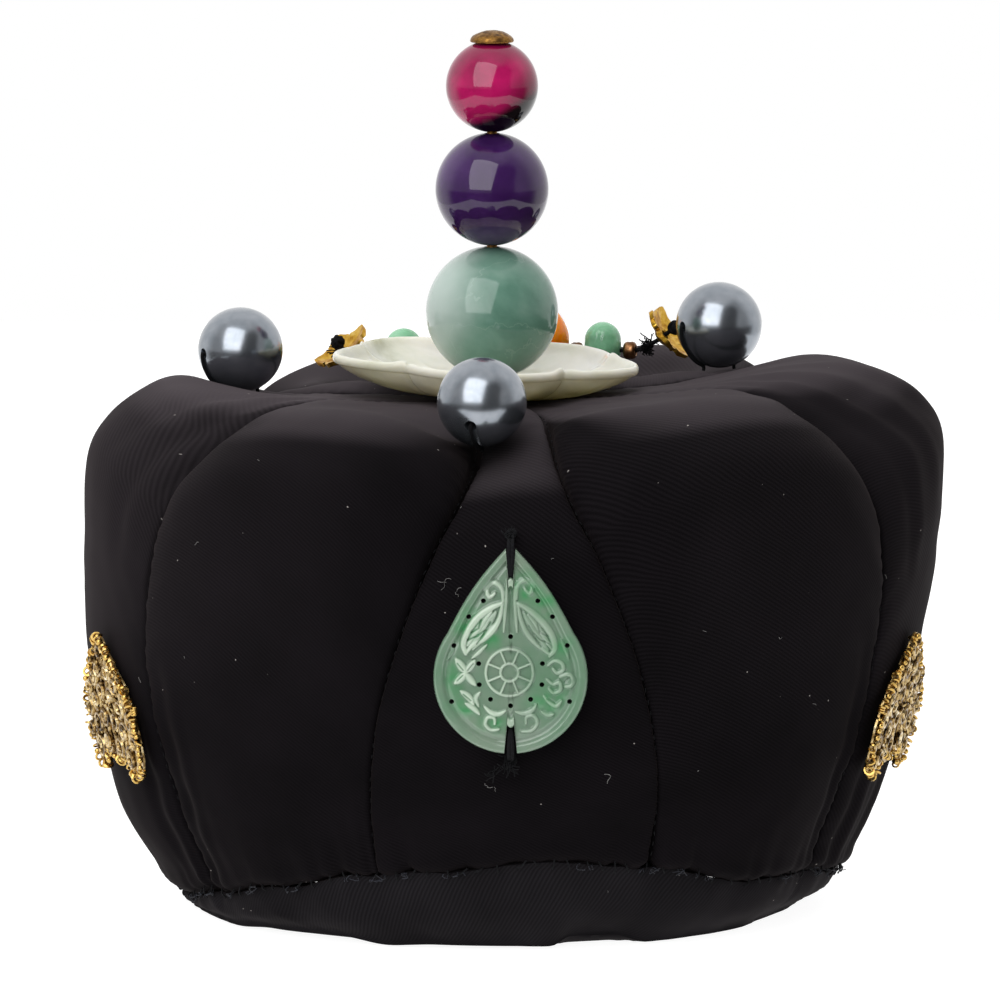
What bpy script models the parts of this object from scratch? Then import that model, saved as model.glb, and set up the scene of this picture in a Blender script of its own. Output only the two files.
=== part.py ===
# A padded bridal coronet of black silk, worn on top of the head: nine panels sewn side by side
# over padding, a hem band, a jade dish with a stack of three beads, three pearls, a carved jade
# plaque, two gilt ornaments and a short strand of beads at the back.
# Metres, +Z up. The origin is on the table, under the middle of the body. The front is at -Y.
import math

import bmesh
import bpy
from mathutils import Euler, Matrix, Vector

MM = 0.001
GAP = 0.3 * MM                # clearance between pieces that touch
EPS = 0.001 * MM              # distance at which doubled points are merged

# Body of the crown, sizes in mm. Each row is one height of the profile, from the eye of the top
# outwards and down to the table. A panel's middle and its seams are columns of their own:
# radius and height along the middle of a gusset, the middle of a flank, an outer seam, and the
# lining of the hollow. gusset_half is half the angle that a gusset takes there, in degrees.
PROFILE_COLUMNS = ("gusset_r", "gusset_z", "flank_r", "flank_z", "seam_r", "seam_z",
                   "lining_r", "lining_z", "gusset_half")
PROFILE = [
    (3.0, 89.0, 3.0, 89.0, 3.0, 89.0, 3.0, 80.6, 12.0),      # eye
    (15.0, 89.6, 15.0, 89.6, 15.0, 89.7, 15.0, 81.0, 10.0),  # under the dish
    (28.0, 90.7, 30.0, 91.0, 27.0, 90.8, 27.0, 82.2, 9.2),
    (37.0, 91.2, 45.0, 92.4, 38.5, 91.8, 37.0, 82.6, 8.4),   # crest
    (45.5, 89.9, 57.5, 93.7, 48.0, 88.4, 45.0, 81.6, 7.8),
    (56.0, 84.6, 66.0, 91.6, 55.5, 83.8, 51.5, 78.8, 7.8),   # shoulder
    (64.5, 79.2, 71.6, 88.0, 63.5, 79.4, 57.0, 73.6, 8.8),
    (70.2, 72.2, 75.2, 82.4, 70.6, 72.9, 61.0, 67.0, 11.2),
    (72.6, 62.5, 76.0, 72.5, 74.0, 64.0, 63.6, 58.0, 14.2),  # widest
    (73.0, 52.0, 75.4, 60.0, 74.4, 54.5, 64.2, 48.0, 17.2),
    (72.6, 41.0, 73.8, 46.0, 73.0, 43.0, 63.4, 37.0, 19.6),
    (70.8, 30.0, 71.0, 32.0, 70.0, 31.0, 61.0, 27.0, 21.0),
    (67.6, 20.0, 66.9, 18.0, 65.5, 20.0, 57.6, 17.5, 21.6),
    (62.6, 10.0, 61.6, 8.0, 60.2, 9.0, 54.0, 8.5, 21.8),
    (57.0, 0.0, 56.0, 0.0, 56.0, 0.0, 51.0, 0.0, 21.8),      # table
]
GUSSETS = 3                   # a gusset at the front and one 120 degrees to each side
SECTOR = 360.0 / GUSSETS
SEAM_DIP = 1.3                # how far a gusset's two seams sink below its middle
GUSSET_ROUND = 0.75           # how sharply a gusset curves down to its seams
FLANK_ROUND = 0.62            # the same of a flank
LEAN = [(0.0, -0.6), (6.0, -2.1), (18.0, -2.5), (34.0, -2.0), (47.0, -1.6), (61.0, -0.6),
        (70.0, 0.0), (84.0, 0.4), (92.0, 0.4)]   # sideways lean at each height, mm
SEAM_TURN = 2.2               # the left front seam lies this many degrees nearer the front
TILT = 0.024                  # the top rises this much towards +X
# Hollows that what lies on the cloth presses into it: x, y, spread in x and y, depth, mm
DENTS = {
    "pearl_front": (-8.0, -47.5, 11.5, 10.5, 3.7),
    "pearl_left": (-48.2, 7.0, 8.0, 8.0, 2.4),
    "pearl_right": (36.8, 25.0, 9.0, 9.0, 0.4),
    "strand": (-2.0, 38.5, 40.0, 10.5, 4.1),
    "crest_left": (-37.0, 8.0, 9.0, 22.0, 1.2),
    "shoulder_left": (-61.0, 2.0, 9.0, 24.0, -1.3),
    "shoulder_right": (49.0, 4.0, 12.0, 26.0, -1.7),
}
PLEATS = [(13.5, 3.2, 1.5), (-17.0, 2.6, 0.7), (23.5, 2.4, 0.8), (-6.0, 2.4, 0.5),
          (3.5, 2.4, 0.5)]    # gathers over the front hem: azimuth, spread in degrees, depth in mm
PLEAT_TOP = 34.0              # height at which the gathers have died out, mm
PANEL_ROWS = 12
FLANK_COLUMNS = 7
GUSSET_COLUMNS = 8

# Hem: height of its seam above the table round the crown, azimuth in degrees from the front
HEM = [(-180.0, 9.5), (-130.0, 6.5), (-95.0, 2.6), (-75.0, 3.0), (-59.0, 6.0), (-42.0, 9.4),
       (-24.5, 13.1), (-12.0, 14.4), (5.0, 16.6), (21.5, 14.6), (42.5, 10.3), (60.0, 9.3),
       (75.0, 7.2), (95.0, 4.5), (130.0, 6.5), (180.0, 9.5)]
HEM_STEP = 0.9                # the band stands this far inside the panels, mm
HEM_FULL = 1.2                # how far the band's face bulges
HEM_FOOT = [(-180.0, 56.5), (-110.0, 56.8), (-60.0, 57.4), (-30.0, 55.6), (0.0, 54.6),
            (14.0, 52.2), (28.0, 53.0), (46.0, 52.4), (62.0, 50.4), (78.0, 51.0),
            (100.0, 53.8), (130.0, 55.5), (180.0, 56.5)]   # radius of its foot, by azimuth
HEM_INSIDE = 47.2             # radius of the opening at the table
HEM_DROP = 0.6                # clearance between the band and the panels' lower edges
HEM_EDGE = 1.0                # rounding of the band's lower edge

# Finial, mm
FINIAL_X, FINIAL_Y = -3.7, 0.0
EYE_REACH = 27.0              # the panels' shift towards the post ends this far out
BEADS = [("bead_jade", 11.65), ("bead_amethyst", 9.95), ("bead_tiger_eye", 8.1)]
BEAD_BORE = 1.25
POST_RADIUS = 0.9
POST_FOOT = 79.0              # the post's riveted end lies under the lining
RIVET_RADIUS, RIVET_THICK = 5.2, 1.1
HEAD_RADIUS, HEAD_RISE, HEAD_EDGE = 4.1, 1.5, 0.5

# Jade dish, mm
DISH_X = -5.0
DISH_ROLL = math.radians(1.9)
DISH_PETALS = 8
DISH_PROFILE = [(1.3, 89.9, 92.35), (8.5, 89.75, 92.35), (13.5, 90.1, 92.5), (18.0, 90.8, 92.9),
                (21.5, 91.9, 93.8), (24.5, 93.2, 94.9), (27.2, 94.9, 96.1)]   # radius, under, over
DISH_SCALLOP = 0.035          # part of the radius that the rim draws in between two petals
DISH_RIDGE = 0.5              # height of the ridge between two petals
DISH_STEPS = 40

# Pearls: centre, radius, and the direction of the drilled hole, mm
PEARLS = {
    "front": ((-5.4, -48.5, 94.2), 7.72, (-0.25, -0.86, -0.44)),
    "left": ((-48.2, 7.0, 96.75), 7.5, (1.0, 0.1, 0.05)),
    "right": ((36.8, 25.0, 99.1), 7.68, (1.0, -0.1, 0.1)),
}
PEARL_BORE = 0.95
THREAD_RADIUS = 0.5
THREAD_SPREAD = 0.7           # a thread's foot lies this much further out than its hole
THREAD_SIDE = {"front": 1.6, "left": 0.0, "right": 0.0}

# Teardrop plaque, mm, in its own plane: a round foot and two straight sides up to the apex
PLAQUE_RADIUS = 13.1
PLAQUE_HEIGHT = 35.9
PLAQUE_THICK = 2.6
PLAQUE_FOOT = (-0.5, -73.75, 36.1)   # lowest point of its back
PLAQUE_LEAN = math.radians(-1.2)
PLAQUE_BORDER = 1.5
PLAQUE_SUNK = 0.45
PLAQUE_NOTCHES = [("top", 30.3, 1.6), ("bottom", 4.4, 1.8)]   # end of the notch, width
PLAQUE_PAIRS = [(4.6, 26.2), (7.1, 23.5), (9.6, 18.6), (5.4, 15.5), (5.3, 11.9), (3.4, 9.4),
                (10.0, 9.0), (0.0, 20.1), (0.0, 8.3)]         # drilled holes, mirrored in pairs
PLAQUE_HOLE = 0.42
ROUNDEL = (0.0, 14.2, 4.3, 3.4, 0.45)   # place, outer and inner radius, height of the raised ring

# Gilt side ornaments, mm: height above their feet and half width there
ORNAMENT_OUTLINE = [(0.0, 10.8), (0.9, 12.3), (4.4, 13.6), (9.3, 13.8), (12.8, 13.0),
                    (17.2, 10.4), (21.0, 6.3), (24.5, 2.5), (26.3, 0.8)]
ORNAMENT_FEET = [(0.0, 7.2), (2.9, 5.6), (3.2, 3.9), (2.2, 1.6)]   # between the two feet
ORNAMENT_HOLES = [(0.0, 19.5, 1.5), (4.4, 15.6, 1.4), (0.0, 11.8, 1.7), (8.6, 10.6, 1.5),
                  (4.6, 7.0, 1.4), (9.4, 4.6, 1.2)]
ORNAMENT_THICK = 1.5
ORNAMENT_AZIMUTH = 70.5
ORNAMENT_FOOT_Z = 24.6
ORNAMENT_RISE = 12.0          # height above its feet at which the plate touches the silk
ORNAMENT_OFF = 0.3            # clearance there

# Back strand, mm: kind and place along X of each bead
STRAND_Y, STRAND_BOW = 40.0, 4.0
STRAND_Z, STRAND_RISE = 92.4, 0.03
STRAND_HALF = 28.0
STRAND = [("spacer_1", -24.6), ("green_left", -19.6), ("spacer_2", -14.7), ("amber_left", -9.9),
          ("spacer_3", -5.0), ("middle_bead", -1.7), ("spacer_4", 1.6), ("amber_right", 6.4),
          ("spacer_5", 11.5), ("green_right", 16.2), ("spacer_6", 21.1)]
STRAND_BORE = 0.85
STRAND_THREAD = 0.4
SPACER_RADIUS, SPACER_HALF = 1.6, 1.1
GREEN_RADIUS, GREEN_FOOT, GREEN_TOP = 3.3, -1.5, 5.2      # heights from the strand's thread
AMBER_RADIUS, AMBER_FOOT, AMBER_WIDE, AMBER_TOP = 3.8, -1.4, 2.2, 9.6
MIDDLE_RADIUS = 2.1
FLOWERS = {"left": ((-30.4, 33.0, 94.1), (-0.59, -0.25, 0.81)),
           "right": ((26.6, 33.0, 97.0), (0.79, -0.25, 0.60))}   # centre, where it faces
FLOWER_RADIUS, FLOWER_WAIST, FLOWER_CUP, FLOWER_THICK = 5.6, 2.6, 1.5, 0.8
FLOWER_PETALS = 5
KNOT_RADIUS = 1.5

# Colour, roughness and metallic value of each material
FINISH = {
    "black_silk": ((0.012, 0.010, 0.011, 1.0), 0.75, 0.0),
    "black_thread": ((0.008, 0.008, 0.010, 1.0), 0.85, 0.0),
    "grey_jade": ((0.62, 0.64, 0.58, 1.0), 0.25, 0.0),
    "green_jade": ((0.17, 0.36, 0.25, 1.0), 0.12, 0.0),
    "plaque_jade": ((0.32, 0.55, 0.38, 1.0), 0.25, 0.0),
    "amethyst": ((0.09, 0.02, 0.22, 1.0), 0.06, 0.0),
    "tiger_eye": ((0.42, 0.006, 0.10, 1.0), 0.08, 0.0),
    "grey_pearl": ((0.22, 0.25, 0.29, 1.0), 0.18, 0.3),
    "gilt_brass": ((0.75, 0.50, 0.13, 1.0), 0.30, 1.0),
    "bronze": ((0.45, 0.27, 0.13, 1.0), 0.35, 1.0),
    "aventurine": ((0.12, 0.42, 0.22, 1.0), 0.15, 0.0),
    "amber": ((0.90, 0.38, 0.01, 1.0), 0.10, 0.0),
}


def clear_scene():
    for obj in list(bpy.data.objects):
        bpy.data.objects.remove(obj, do_unlink=True)


def material(name):
    if name in bpy.data.materials:
        return bpy.data.materials[name]
    colour, roughness, metallic = FINISH[name]
    mat = bpy.data.materials.new(name)
    mat.use_nodes = True
    shader = mat.node_tree.nodes["Principled BSDF"]
    shader.inputs["Base Color"].default_value = colour
    shader.inputs["Roughness"].default_value = roughness
    shader.inputs["Metallic"].default_value = metallic
    mat.diffuse_color = colour
    return mat


def add_object(name, bm, finish, place=None):
    """Close off a bmesh as a named object with outward faces."""
    bmesh.ops.remove_doubles(bm, verts=bm.verts, dist=EPS)
    bmesh.ops.recalc_face_normals(bm, faces=bm.faces)
    mesh = bpy.data.meshes.new(name)
    bm.to_mesh(mesh)
    bm.free()
    mesh.shade_smooth()
    mesh.set_sharp_from_angle(angle=math.radians(40))
    obj = bpy.data.objects.new(name, mesh)
    obj.data.materials.append(material(finish))
    bpy.context.scene.collection.objects.link(obj)
    if place is not None:
        obj.matrix_world = place
    return obj


def cut(obj, cutter, name, operation="DIFFERENCE"):
    """Add a Boolean with a cutter that stays in the scene as a wire guide."""
    cutter.hide_render = True
    cutter.display_type = "WIRE"
    modifier = obj.modifiers.new(name, "BOOLEAN")
    modifier.operation = operation
    modifier.solver = "EXACT"
    modifier.object = cutter


def spline(values, t):
    """Catmull-Rom through evenly spaced values, t counted in rows."""
    last = len(values) - 1
    i = min(int(t), last - 1)
    f = t - i
    a, b, c, d = (values[min(max(i + k, 0), last)] for k in (-1, 0, 1, 2))
    return 0.5 * (2 * b + (c - a) * f + (2 * a - 5 * b + 4 * c - d) * f * f
                  + (3 * b - a - 3 * c + d) * f ** 3)


def along(table, x):
    """Smooth reading of a table of (place, value) rows."""
    if x <= table[0][0]:
        return table[0][1]
    for (x0, y0), (x1, y1) in zip(table, table[1:]):
        if x <= x1:
            f = (x - x0) / (x1 - x0)
            return y0 + (y1 - y0) * f * f * (3 - 2 * f)
    return table[-1][1]


COLUMNS = {name: [row[i] for row in PROFILE] for i, name in enumerate(PROFILE_COLUMNS)}


def column(name, t):
    return spline(COLUMNS[name], t)


def gusset_seam(t):
    """Radius and height of a gusset's seams: its middle, sunk along the surface's normal."""
    step = 0.05
    dr = column("gusset_r", t + step) - column("gusset_r", t - step if t > step else 0.0)
    dz = column("gusset_z", t + step) - column("gusset_z", t - step if t > step else 0.0)
    length = math.hypot(dr, dz) or 1.0
    fade = min(1.0, t / 2.0)
    return (column("gusset_r", t) + SEAM_DIP * fade * dz / length,
            column("gusset_z", t) - SEAM_DIP * fade * dr / length)


def body_point(azimuth, t):
    """Point of the silk at an azimuth in degrees, t rows down the profile, in mm."""
    turn = (azimuth + SECTOR / 2) % SECTOR - SECTOR / 2
    half = column("gusset_half", t)
    seam_r, seam_z = gusset_seam(t)
    if abs(turn) <= half:
        swell = (1.0 - (turn / half) ** 2) ** GUSSET_ROUND
        r = seam_r + swell * (column("gusset_r", t) - seam_r)
        z = seam_z + swell * (column("gusset_z", t) - seam_z)
    else:
        across = (abs(turn) - half) / (SECTOR / 2 - half)
        swell = (4.0 * across * (1.0 - across)) ** FLANK_ROUND if 0.0 < across < 1.0 else 0.0
        outer_r, outer_z = column("seam_r", t), column("seam_z", t)
        r = seam_r + across * (outer_r - seam_r)
        z = seam_z + across * (outer_z - seam_z)
        r += swell * (column("flank_r", t) - 0.5 * (seam_r + outer_r))
        z += swell * (column("flank_z", t) - 0.5 * (seam_z + outer_z))
    return placed(azimuth, r, z)


def seam_shift(azimuth):
    """Turn of the left front seam towards the front, fading out at the gussets beside it."""
    away = abs((azimuth + 60.0 + 180.0) % 360.0 - 180.0) / 60.0
    return SEAM_TURN * math.cos(0.5 * math.pi * away) ** 2 if away < 1.0 else 0.0


def placed(azimuth, r, z):
    """Lean, tilt, dents and gathers of the soft body, applied to a radius and height."""
    turn = math.radians(azimuth + seam_shift(azimuth))
    x, y = r * math.sin(turn), -r * math.cos(turn)
    x += eye_shift(r)
    if z < PLEAT_TOP:
        signed = (azimuth + 180.0) % 360.0 - 180.0
        for at, spread, depth in PLEATS:
            inward = depth * (1.0 - z / PLEAT_TOP) ** 1.5 * math.exp(-((signed - at) / spread) ** 2)
            x -= inward * math.sin(turn)
            y += inward * math.cos(turn)
    z_new = z + TILT * x * z / 90.0
    for dx, dy, spread_x, spread_y, depth in DENTS.values():
        near = ((x - dx) / spread_x) ** 2 + ((y - dy) / spread_y) ** 2
        if z > 75.0:
            z_new -= depth * math.exp(-near)
    return Vector((x + along(LEAN, z) * math.sin(turn) ** 2, y, z_new))


def eye_shift(r):
    """The panels meet round the finial's post, a little to one side of the body's middle."""
    return FINIAL_X * max(0.0, 1.0 - (r - PROFILE[0][0]) / EYE_REACH)


def lining_point(azimuth, t):
    turn = math.radians(azimuth + seam_shift(azimuth))
    r, z = column("lining_r", t), column("lining_z", t)
    return Vector((r * math.sin(turn) + eye_shift(r), -r * math.cos(turn), z))


def hem_row(azimuth):
    """Rows down the profile at which the silk meets the hem."""
    signed = (azimuth + 180.0) % 360.0 - 180.0
    height = along(HEM, signed)
    low, high = 8.0, len(PROFILE) - 1.0
    for _ in range(30):
        middle = 0.5 * (low + high)
        if body_point(azimuth, middle).z > height:
            low = middle
        else:
            high = middle
    return low


def panel_azimuth(kind, centre, side, across, t):
    """Azimuth of a point across a panel: 0 and 1 are its two seams."""
    half = column("gusset_half", t)
    if kind == "gusset":
        return centre + half * (2.0 * across - 1.0)
    outer = SECTOR / 2
    return centre + side * (half + across * (outer - half))


def panel_foot(kind, centre, side, across):
    """Azimuth and row at which a line down the panel meets the hem."""
    t = len(PROFILE) - 2.0
    for _ in range(4):
        azimuth = panel_azimuth(kind, centre, side, across, t)
        t = hem_row(azimuth)
    return azimuth, t


def panel_columns(kind):
    return GUSSET_COLUMNS if kind == "gusset" else FLANK_COLUMNS


def add_panel(name, kind, centre, side):
    """One padded panel: silk outside, lining inside, cut square at its seams and its hem."""
    across_count = panel_columns(kind)
    bm = bmesh.new()
    rings = []
    for surface in ("silk", "lining"):
        grid = []
        for i in range(across_count + 1):
            across = i / across_count
            line = []
            hem = panel_foot(kind, centre, side, across)[1]
            for j in range(PANEL_ROWS + 1):
                t = hem * j / PANEL_ROWS
                azimuth = panel_azimuth(kind, centre, side, across, t)
                radius = column("lining_r" if surface == "lining" else "seam_r", t)
                inset = math.degrees(math.asin(min(0.5, 0.5 * GAP / MM / radius)))
                direction = 1.0 if kind == "gusset" else side
                azimuth += direction * inset * ((across == 0.0) - (across == 1.0))
                point = body_point(azimuth, t) if surface == "silk" else lining_point(azimuth, t)
                line.append(bm.verts.new(point * MM))
            grid.append(line)
        rings.append(grid)
    silk, lining = rings
    for i in range(across_count):
        for j in range(PANEL_ROWS):
            for grid in rings:
                bm.faces.new((grid[i][j], grid[i][j + 1], grid[i + 1][j + 1], grid[i + 1][j]))
    for j in range(PANEL_ROWS):
        for i in (0, across_count):
            bm.faces.new((silk[i][j], silk[i][j + 1], lining[i][j + 1], lining[i][j]))
    for i in range(across_count):
        for j in (0, PANEL_ROWS):
            bm.faces.new((silk[i][j], silk[i + 1][j], lining[i + 1][j], lining[i][j]))
    return add_object(name, bm, "black_silk")


def add_panels():
    for centre, name in ((0.0, "front"), (120.0, "right"), (-120.0, "left")):
        add_panel("gusset_" + name, "gusset", centre, 1)
    for centre, side, name in ((0.0, 1, "front_right"), (0.0, -1, "front_left"),
                               (120.0, -1, "side_right"), (-120.0, 1, "side_left"),
                               (120.0, 1, "back_right"), (-120.0, -1, "back_left")):
        add_panel("flank_" + name, "flank", centre, side)


def hem_azimuths():
    """The same azimuths that the panels have at the hem, once round."""
    found = set()
    for centre in (0.0, 120.0, -120.0):
        for kind, side in (("gusset", 1), ("flank", 1), ("flank", -1)):
            for i in range(panel_columns(kind) + 1):
                azimuth = panel_foot(kind, centre, side, i / panel_columns(kind))[0]
                found.add(round((azimuth + 180.0) % 360.0 - 180.0, 3))
    return sorted(found)


def add_hem_band():
    """Ring under the panels: flat on the table, its top cut to meet their lower edges."""
    bm = bmesh.new()
    sections = []
    for azimuth in hem_azimuths():
        turn = math.radians(azimuth + seam_shift(azimuth))
        out = Vector((math.sin(turn), -math.cos(turn), 0.0))
        hem = hem_row(azimuth)
        silk, lining = body_point(azimuth, hem), lining_point(azimuth, hem)
        drop = Vector((0.0, 0.0, HEM_DROP))
        foot = out * along(HEM_FOOT, azimuth)
        top = silk - out * HEM_STEP - drop
        middle = (top + foot) / 2 + out * HEM_FULL * min(1.0, top.z / 8.0)
        section = [top, middle, foot + Vector((0, 0, min(HEM_EDGE, 0.4 * top.z))),
                   foot - out * HEM_EDGE, out * HEM_INSIDE,
                   out * (HEM_INSIDE + 0.5) + Vector((0, 0, 0.5 * lining.z)), lining - drop]
        sections.append([bm.verts.new(point * MM) for point in section])
    for one, other in zip(sections, sections[1:] + sections[:1]):
        for k in range(len(one)):
            after = (k + 1) % len(one)
            bm.faces.new((one[k], one[after], other[after], other[k]))
    return add_object("hem_band", bm, "black_silk")


def spun(name, outline, steps, finish, place, loop):
    """Turn an outline of (radius, height) in mm round Z; loop says that it closes on itself."""
    bm = bmesh.new()
    verts = [bm.verts.new((r * MM, 0.0, z * MM)) for r, z in outline]
    pairs = list(zip(verts, verts[1:])) + ([(verts[-1], verts[0])] if loop else [])
    edges = [bm.edges.new(pair) for pair in pairs]
    bmesh.ops.spin(bm, geom=verts + edges, cent=(0, 0, 0), axis=(0, 0, 1), angle=math.tau,
                   steps=steps, use_merge=True)
    return add_object(name, bm, finish, place)


def drilled_ball(radius, bore, rings):
    """Outline of a ball with a hole along Z."""
    start = math.asin(bore / radius)
    outline = []
    for k in range(rings + 1):
        angle = start + (math.pi - 2 * start) * k / rings
        outline.append((radius * math.sin(angle), radius * math.cos(angle)))
    return outline


def facing(place, direction):
    """Matrix that puts a piece's +Z along a direction at a place in mm."""
    turn = Vector(direction).normalized().to_track_quat("Z", "Y").to_matrix().to_4x4()
    return Matrix.Translation(Vector(place) * MM) @ turn


def add_finial():
    """Three drilled beads over the dish, on a post with a domed gilt head."""
    z = DISH_PROFILE[0][2] + GAP / MM
    for name, radius in BEADS:
        half = math.sqrt(radius ** 2 - BEAD_BORE ** 2)
        place = Matrix.Translation(Vector((FINIAL_X, FINIAL_Y, z + half)) * MM)
        finish = {"bead_jade": "green_jade", "bead_amethyst": "amethyst",
                  "bead_tiger_eye": "tiger_eye"}[name]
        spun(name, drilled_ball(radius, BEAD_BORE, 8), 14, finish, place, True)
        z += 2 * half + GAP / MM
    ball = BEADS[-1][1]
    rim = z - (math.sqrt(ball ** 2 - BEAD_BORE ** 2)
               - math.sqrt(ball ** 2 - HEAD_RADIUS ** 2)) + GAP / MM
    outline = [(0.0, z + HEAD_RISE), (0.5 * HEAD_RADIUS, z + 0.82 * HEAD_RISE),
               (0.85 * HEAD_RADIUS, z + 0.42 * HEAD_RISE), (HEAD_RADIUS, rim + HEAD_EDGE),
               (HEAD_RADIUS, rim), (0.6 * HEAD_RADIUS, 0.45 * rim + 0.55 * z + 0.25),
               (POST_RADIUS, z + 0.1), (POST_RADIUS, POST_FOOT + RIVET_THICK),
               (RIVET_RADIUS, POST_FOOT + RIVET_THICK), (RIVET_RADIUS, POST_FOOT),
               (0.0, POST_FOOT)]
    place = Matrix.Translation(Vector((FINIAL_X, FINIAL_Y, 0.0)) * MM)
    spun("finial_pin", outline, 14, "gilt_brass", place, False)


def add_dish():
    """Carved dish: eight cupped petals with raised edges round a flat floor."""
    bm = bmesh.new()
    under, over = [], []
    for i in range(DISH_STEPS):
        turn = math.tau * i / DISH_STEPS
        seam = abs(math.sin(0.5 * DISH_PETALS * (turn + math.pi / DISH_PETALS)))
        valley = 1.0 - seam ** 0.5
        low_line, high_line = [], []
        for k, (r, low, high) in enumerate(DISH_PROFILE):
            part = k / (len(DISH_PROFILE) - 1)
            reach = r * (1.0 - DISH_SCALLOP * valley * part ** 2)
            lift = DISH_RIDGE * valley * math.sin(math.pi * min(1.0, part * 1.1)) if part else 0.0
            at = Vector((reach * math.sin(turn), -reach * math.cos(turn), 0.0))
            low_line.append(bm.verts.new((at + Vector((0, 0, low))) * MM))
            high_line.append(bm.verts.new((at + Vector((0, 0, high + lift))) * MM))
        under.append(low_line)
        over.append(high_line)
    last = len(DISH_PROFILE) - 1
    for i in range(DISH_STEPS):
        n = (i + 1) % DISH_STEPS
        for k in range(last):
            bm.faces.new((under[i][k], under[i][k + 1], under[n][k + 1], under[n][k]))
            bm.faces.new((over[i][k], over[i][k + 1], over[n][k + 1], over[n][k]))
        for k in (0, last):
            bm.faces.new((under[i][k], over[i][k], over[n][k], under[n][k]))
    pivot = Vector((FINIAL_X, 0.0, 91.0)) * MM
    bore = Vector((FINIAL_X - DISH_X, 0.0, 0.0)) * MM
    for vert in bm.verts:
        radius = vert.co.xy.length / MM
        pull = max(0.0, 1.0 - (radius - DISH_PROFILE[0][0]) / 12.0)
        vert.co += bore * pull
    place = (Matrix.Translation(pivot) @ Matrix.Rotation(DISH_ROLL, 4, "Y")
             @ Matrix.Translation(-pivot) @ Matrix.Translation((DISH_X * MM, 0.0, 0.0)))
    add_object("lotus_plate", bm, "grey_jade", place)


def add_thread(name, points, radius, sides=6):
    """Closed tube of thread along hand-placed points in mm, on one smooth curve."""
    curve = bpy.data.curves.new(name, "CURVE")
    curve.dimensions = "3D"
    curve.bevel_depth = radius * MM
    curve.bevel_resolution = max(0, sides // 2 - 2)
    curve.use_fill_caps = True
    dense = []
    columns = list(zip(*points))
    steps = 2
    for k in range((len(points) - 1) * steps + 1):
        dense.append([spline(axis, k / steps) for axis in columns])
    line = curve.splines.new("POLY")
    line.points.add(len(dense) - 1)
    for point, (x, y, z) in zip(line.points, dense):
        point.co = (x * MM, y * MM, z * MM, 1.0)
    obj = bpy.data.objects.new(name, curve)
    obj.data.materials.append(material("black_thread"))
    bpy.context.scene.collection.objects.link(obj)
    return obj


def silk_height(x, y):
    """Height of the silk's top under a point, in mm."""
    azimuth = math.degrees(math.atan2(x, -y))
    reach = math.hypot(x, y)
    low, high = 0.0, 8.5
    for _ in range(30):
        middle = 0.5 * (low + high)
        point = body_point(azimuth, middle)
        if math.hypot(point.x, point.y) < reach:
            low = middle
        else:
            high = middle
    return body_point(azimuth, low).z


def add_pearls():
    """Drilled pearls, each held by a thread through it with both ends down to the silk."""
    for side, (centre, radius, axis) in PEARLS.items():
        place = facing(centre, axis)
        spun("pearl_" + side, drilled_ball(radius, PEARL_BORE, 8), 14, "grey_pearl", place, True)
        middle, bore = Vector(centre), Vector(axis).normalized()
        ends = []
        for sign in (-1, 1):
            mouth = middle + bore * sign * (radius + 0.2)
            clear = middle + bore * sign * (radius + 1.3)
            foot = clear + Vector((bore.x, bore.y, 0.0)).normalized() * sign * THREAD_SPREAD
            foot.x += THREAD_SIDE[side] * sign
            foot.z = silk_height(foot.x, foot.y) + GAP / MM + THREAD_RADIUS
            ends.append([mouth, clear, clear.lerp(foot, 0.5), foot])
        route = ends[0][::-1] + [middle] + ends[1]
        add_thread("pearl_" + side + "_thread", [tuple(p) for p in route], THREAD_RADIUS)


def plaque_place():
    x, y, z = PLAQUE_FOOT
    return (Matrix.Translation(Vector((x, y, z)) * MM) @ Euler((PLAQUE_LEAN, 0, 0)).to_matrix().to_4x4()
            @ Matrix.Rotation(math.pi / 2, 4, "X"))


def plaque_outline():
    """Teardrop in its plane: arc of the foot, then straight sides that meet at the apex."""
    centre = PLAQUE_RADIUS
    half_angle = math.asin(PLAQUE_RADIUS / (PLAQUE_HEIGHT - centre))
    points = [(0.0, PLAQUE_HEIGHT)]
    start, steps = half_angle, 26
    for k in range(steps + 1):
        angle = start - (math.pi + 2 * half_angle) * k / steps
        points.append((PLAQUE_RADIUS * math.cos(angle), centre + PLAQUE_RADIUS * math.sin(angle)))
    return points


def prism(name, outline, low, high, finish, place):
    bm = bmesh.new()
    face = bm.faces.new([bm.verts.new((x * MM, y * MM, low * MM)) for x, y in outline])
    lifted = bmesh.ops.extrude_face_region(bm, geom=[face])
    verts = [v for v in lifted["geom"] if isinstance(v, bmesh.types.BMVert)]
    bmesh.ops.translate(bm, verts=verts, vec=(0, 0, (high - low) * MM))
    bmesh.ops.triangulate(bm, faces=bm.faces)
    return add_object(name, bm, finish, place)


def round_outline(x, y, radius, sides):
    angles = [math.tau * (k + 0.23) / sides for k in range(sides)]
    return [(x + radius * math.cos(angle), y + radius * math.sin(angle)) for angle in angles]


def add_cutters(name, outlines, low, high, place):
    """Several prisms in one guide mesh, for one Boolean."""
    bm = bmesh.new()
    for outline in outlines:
        face = bm.faces.new([bm.verts.new((x * MM, y * MM, low * MM)) for x, y in outline])
        lifted = bmesh.ops.extrude_face_region(bm, geom=[face])
        verts = [v for v in lifted["geom"] if isinstance(v, bmesh.types.BMVert)]
        bmesh.ops.translate(bm, verts=verts, vec=(0, 0, (high - low) * MM))
    return add_object(name, bm, "black_thread", place)


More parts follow.
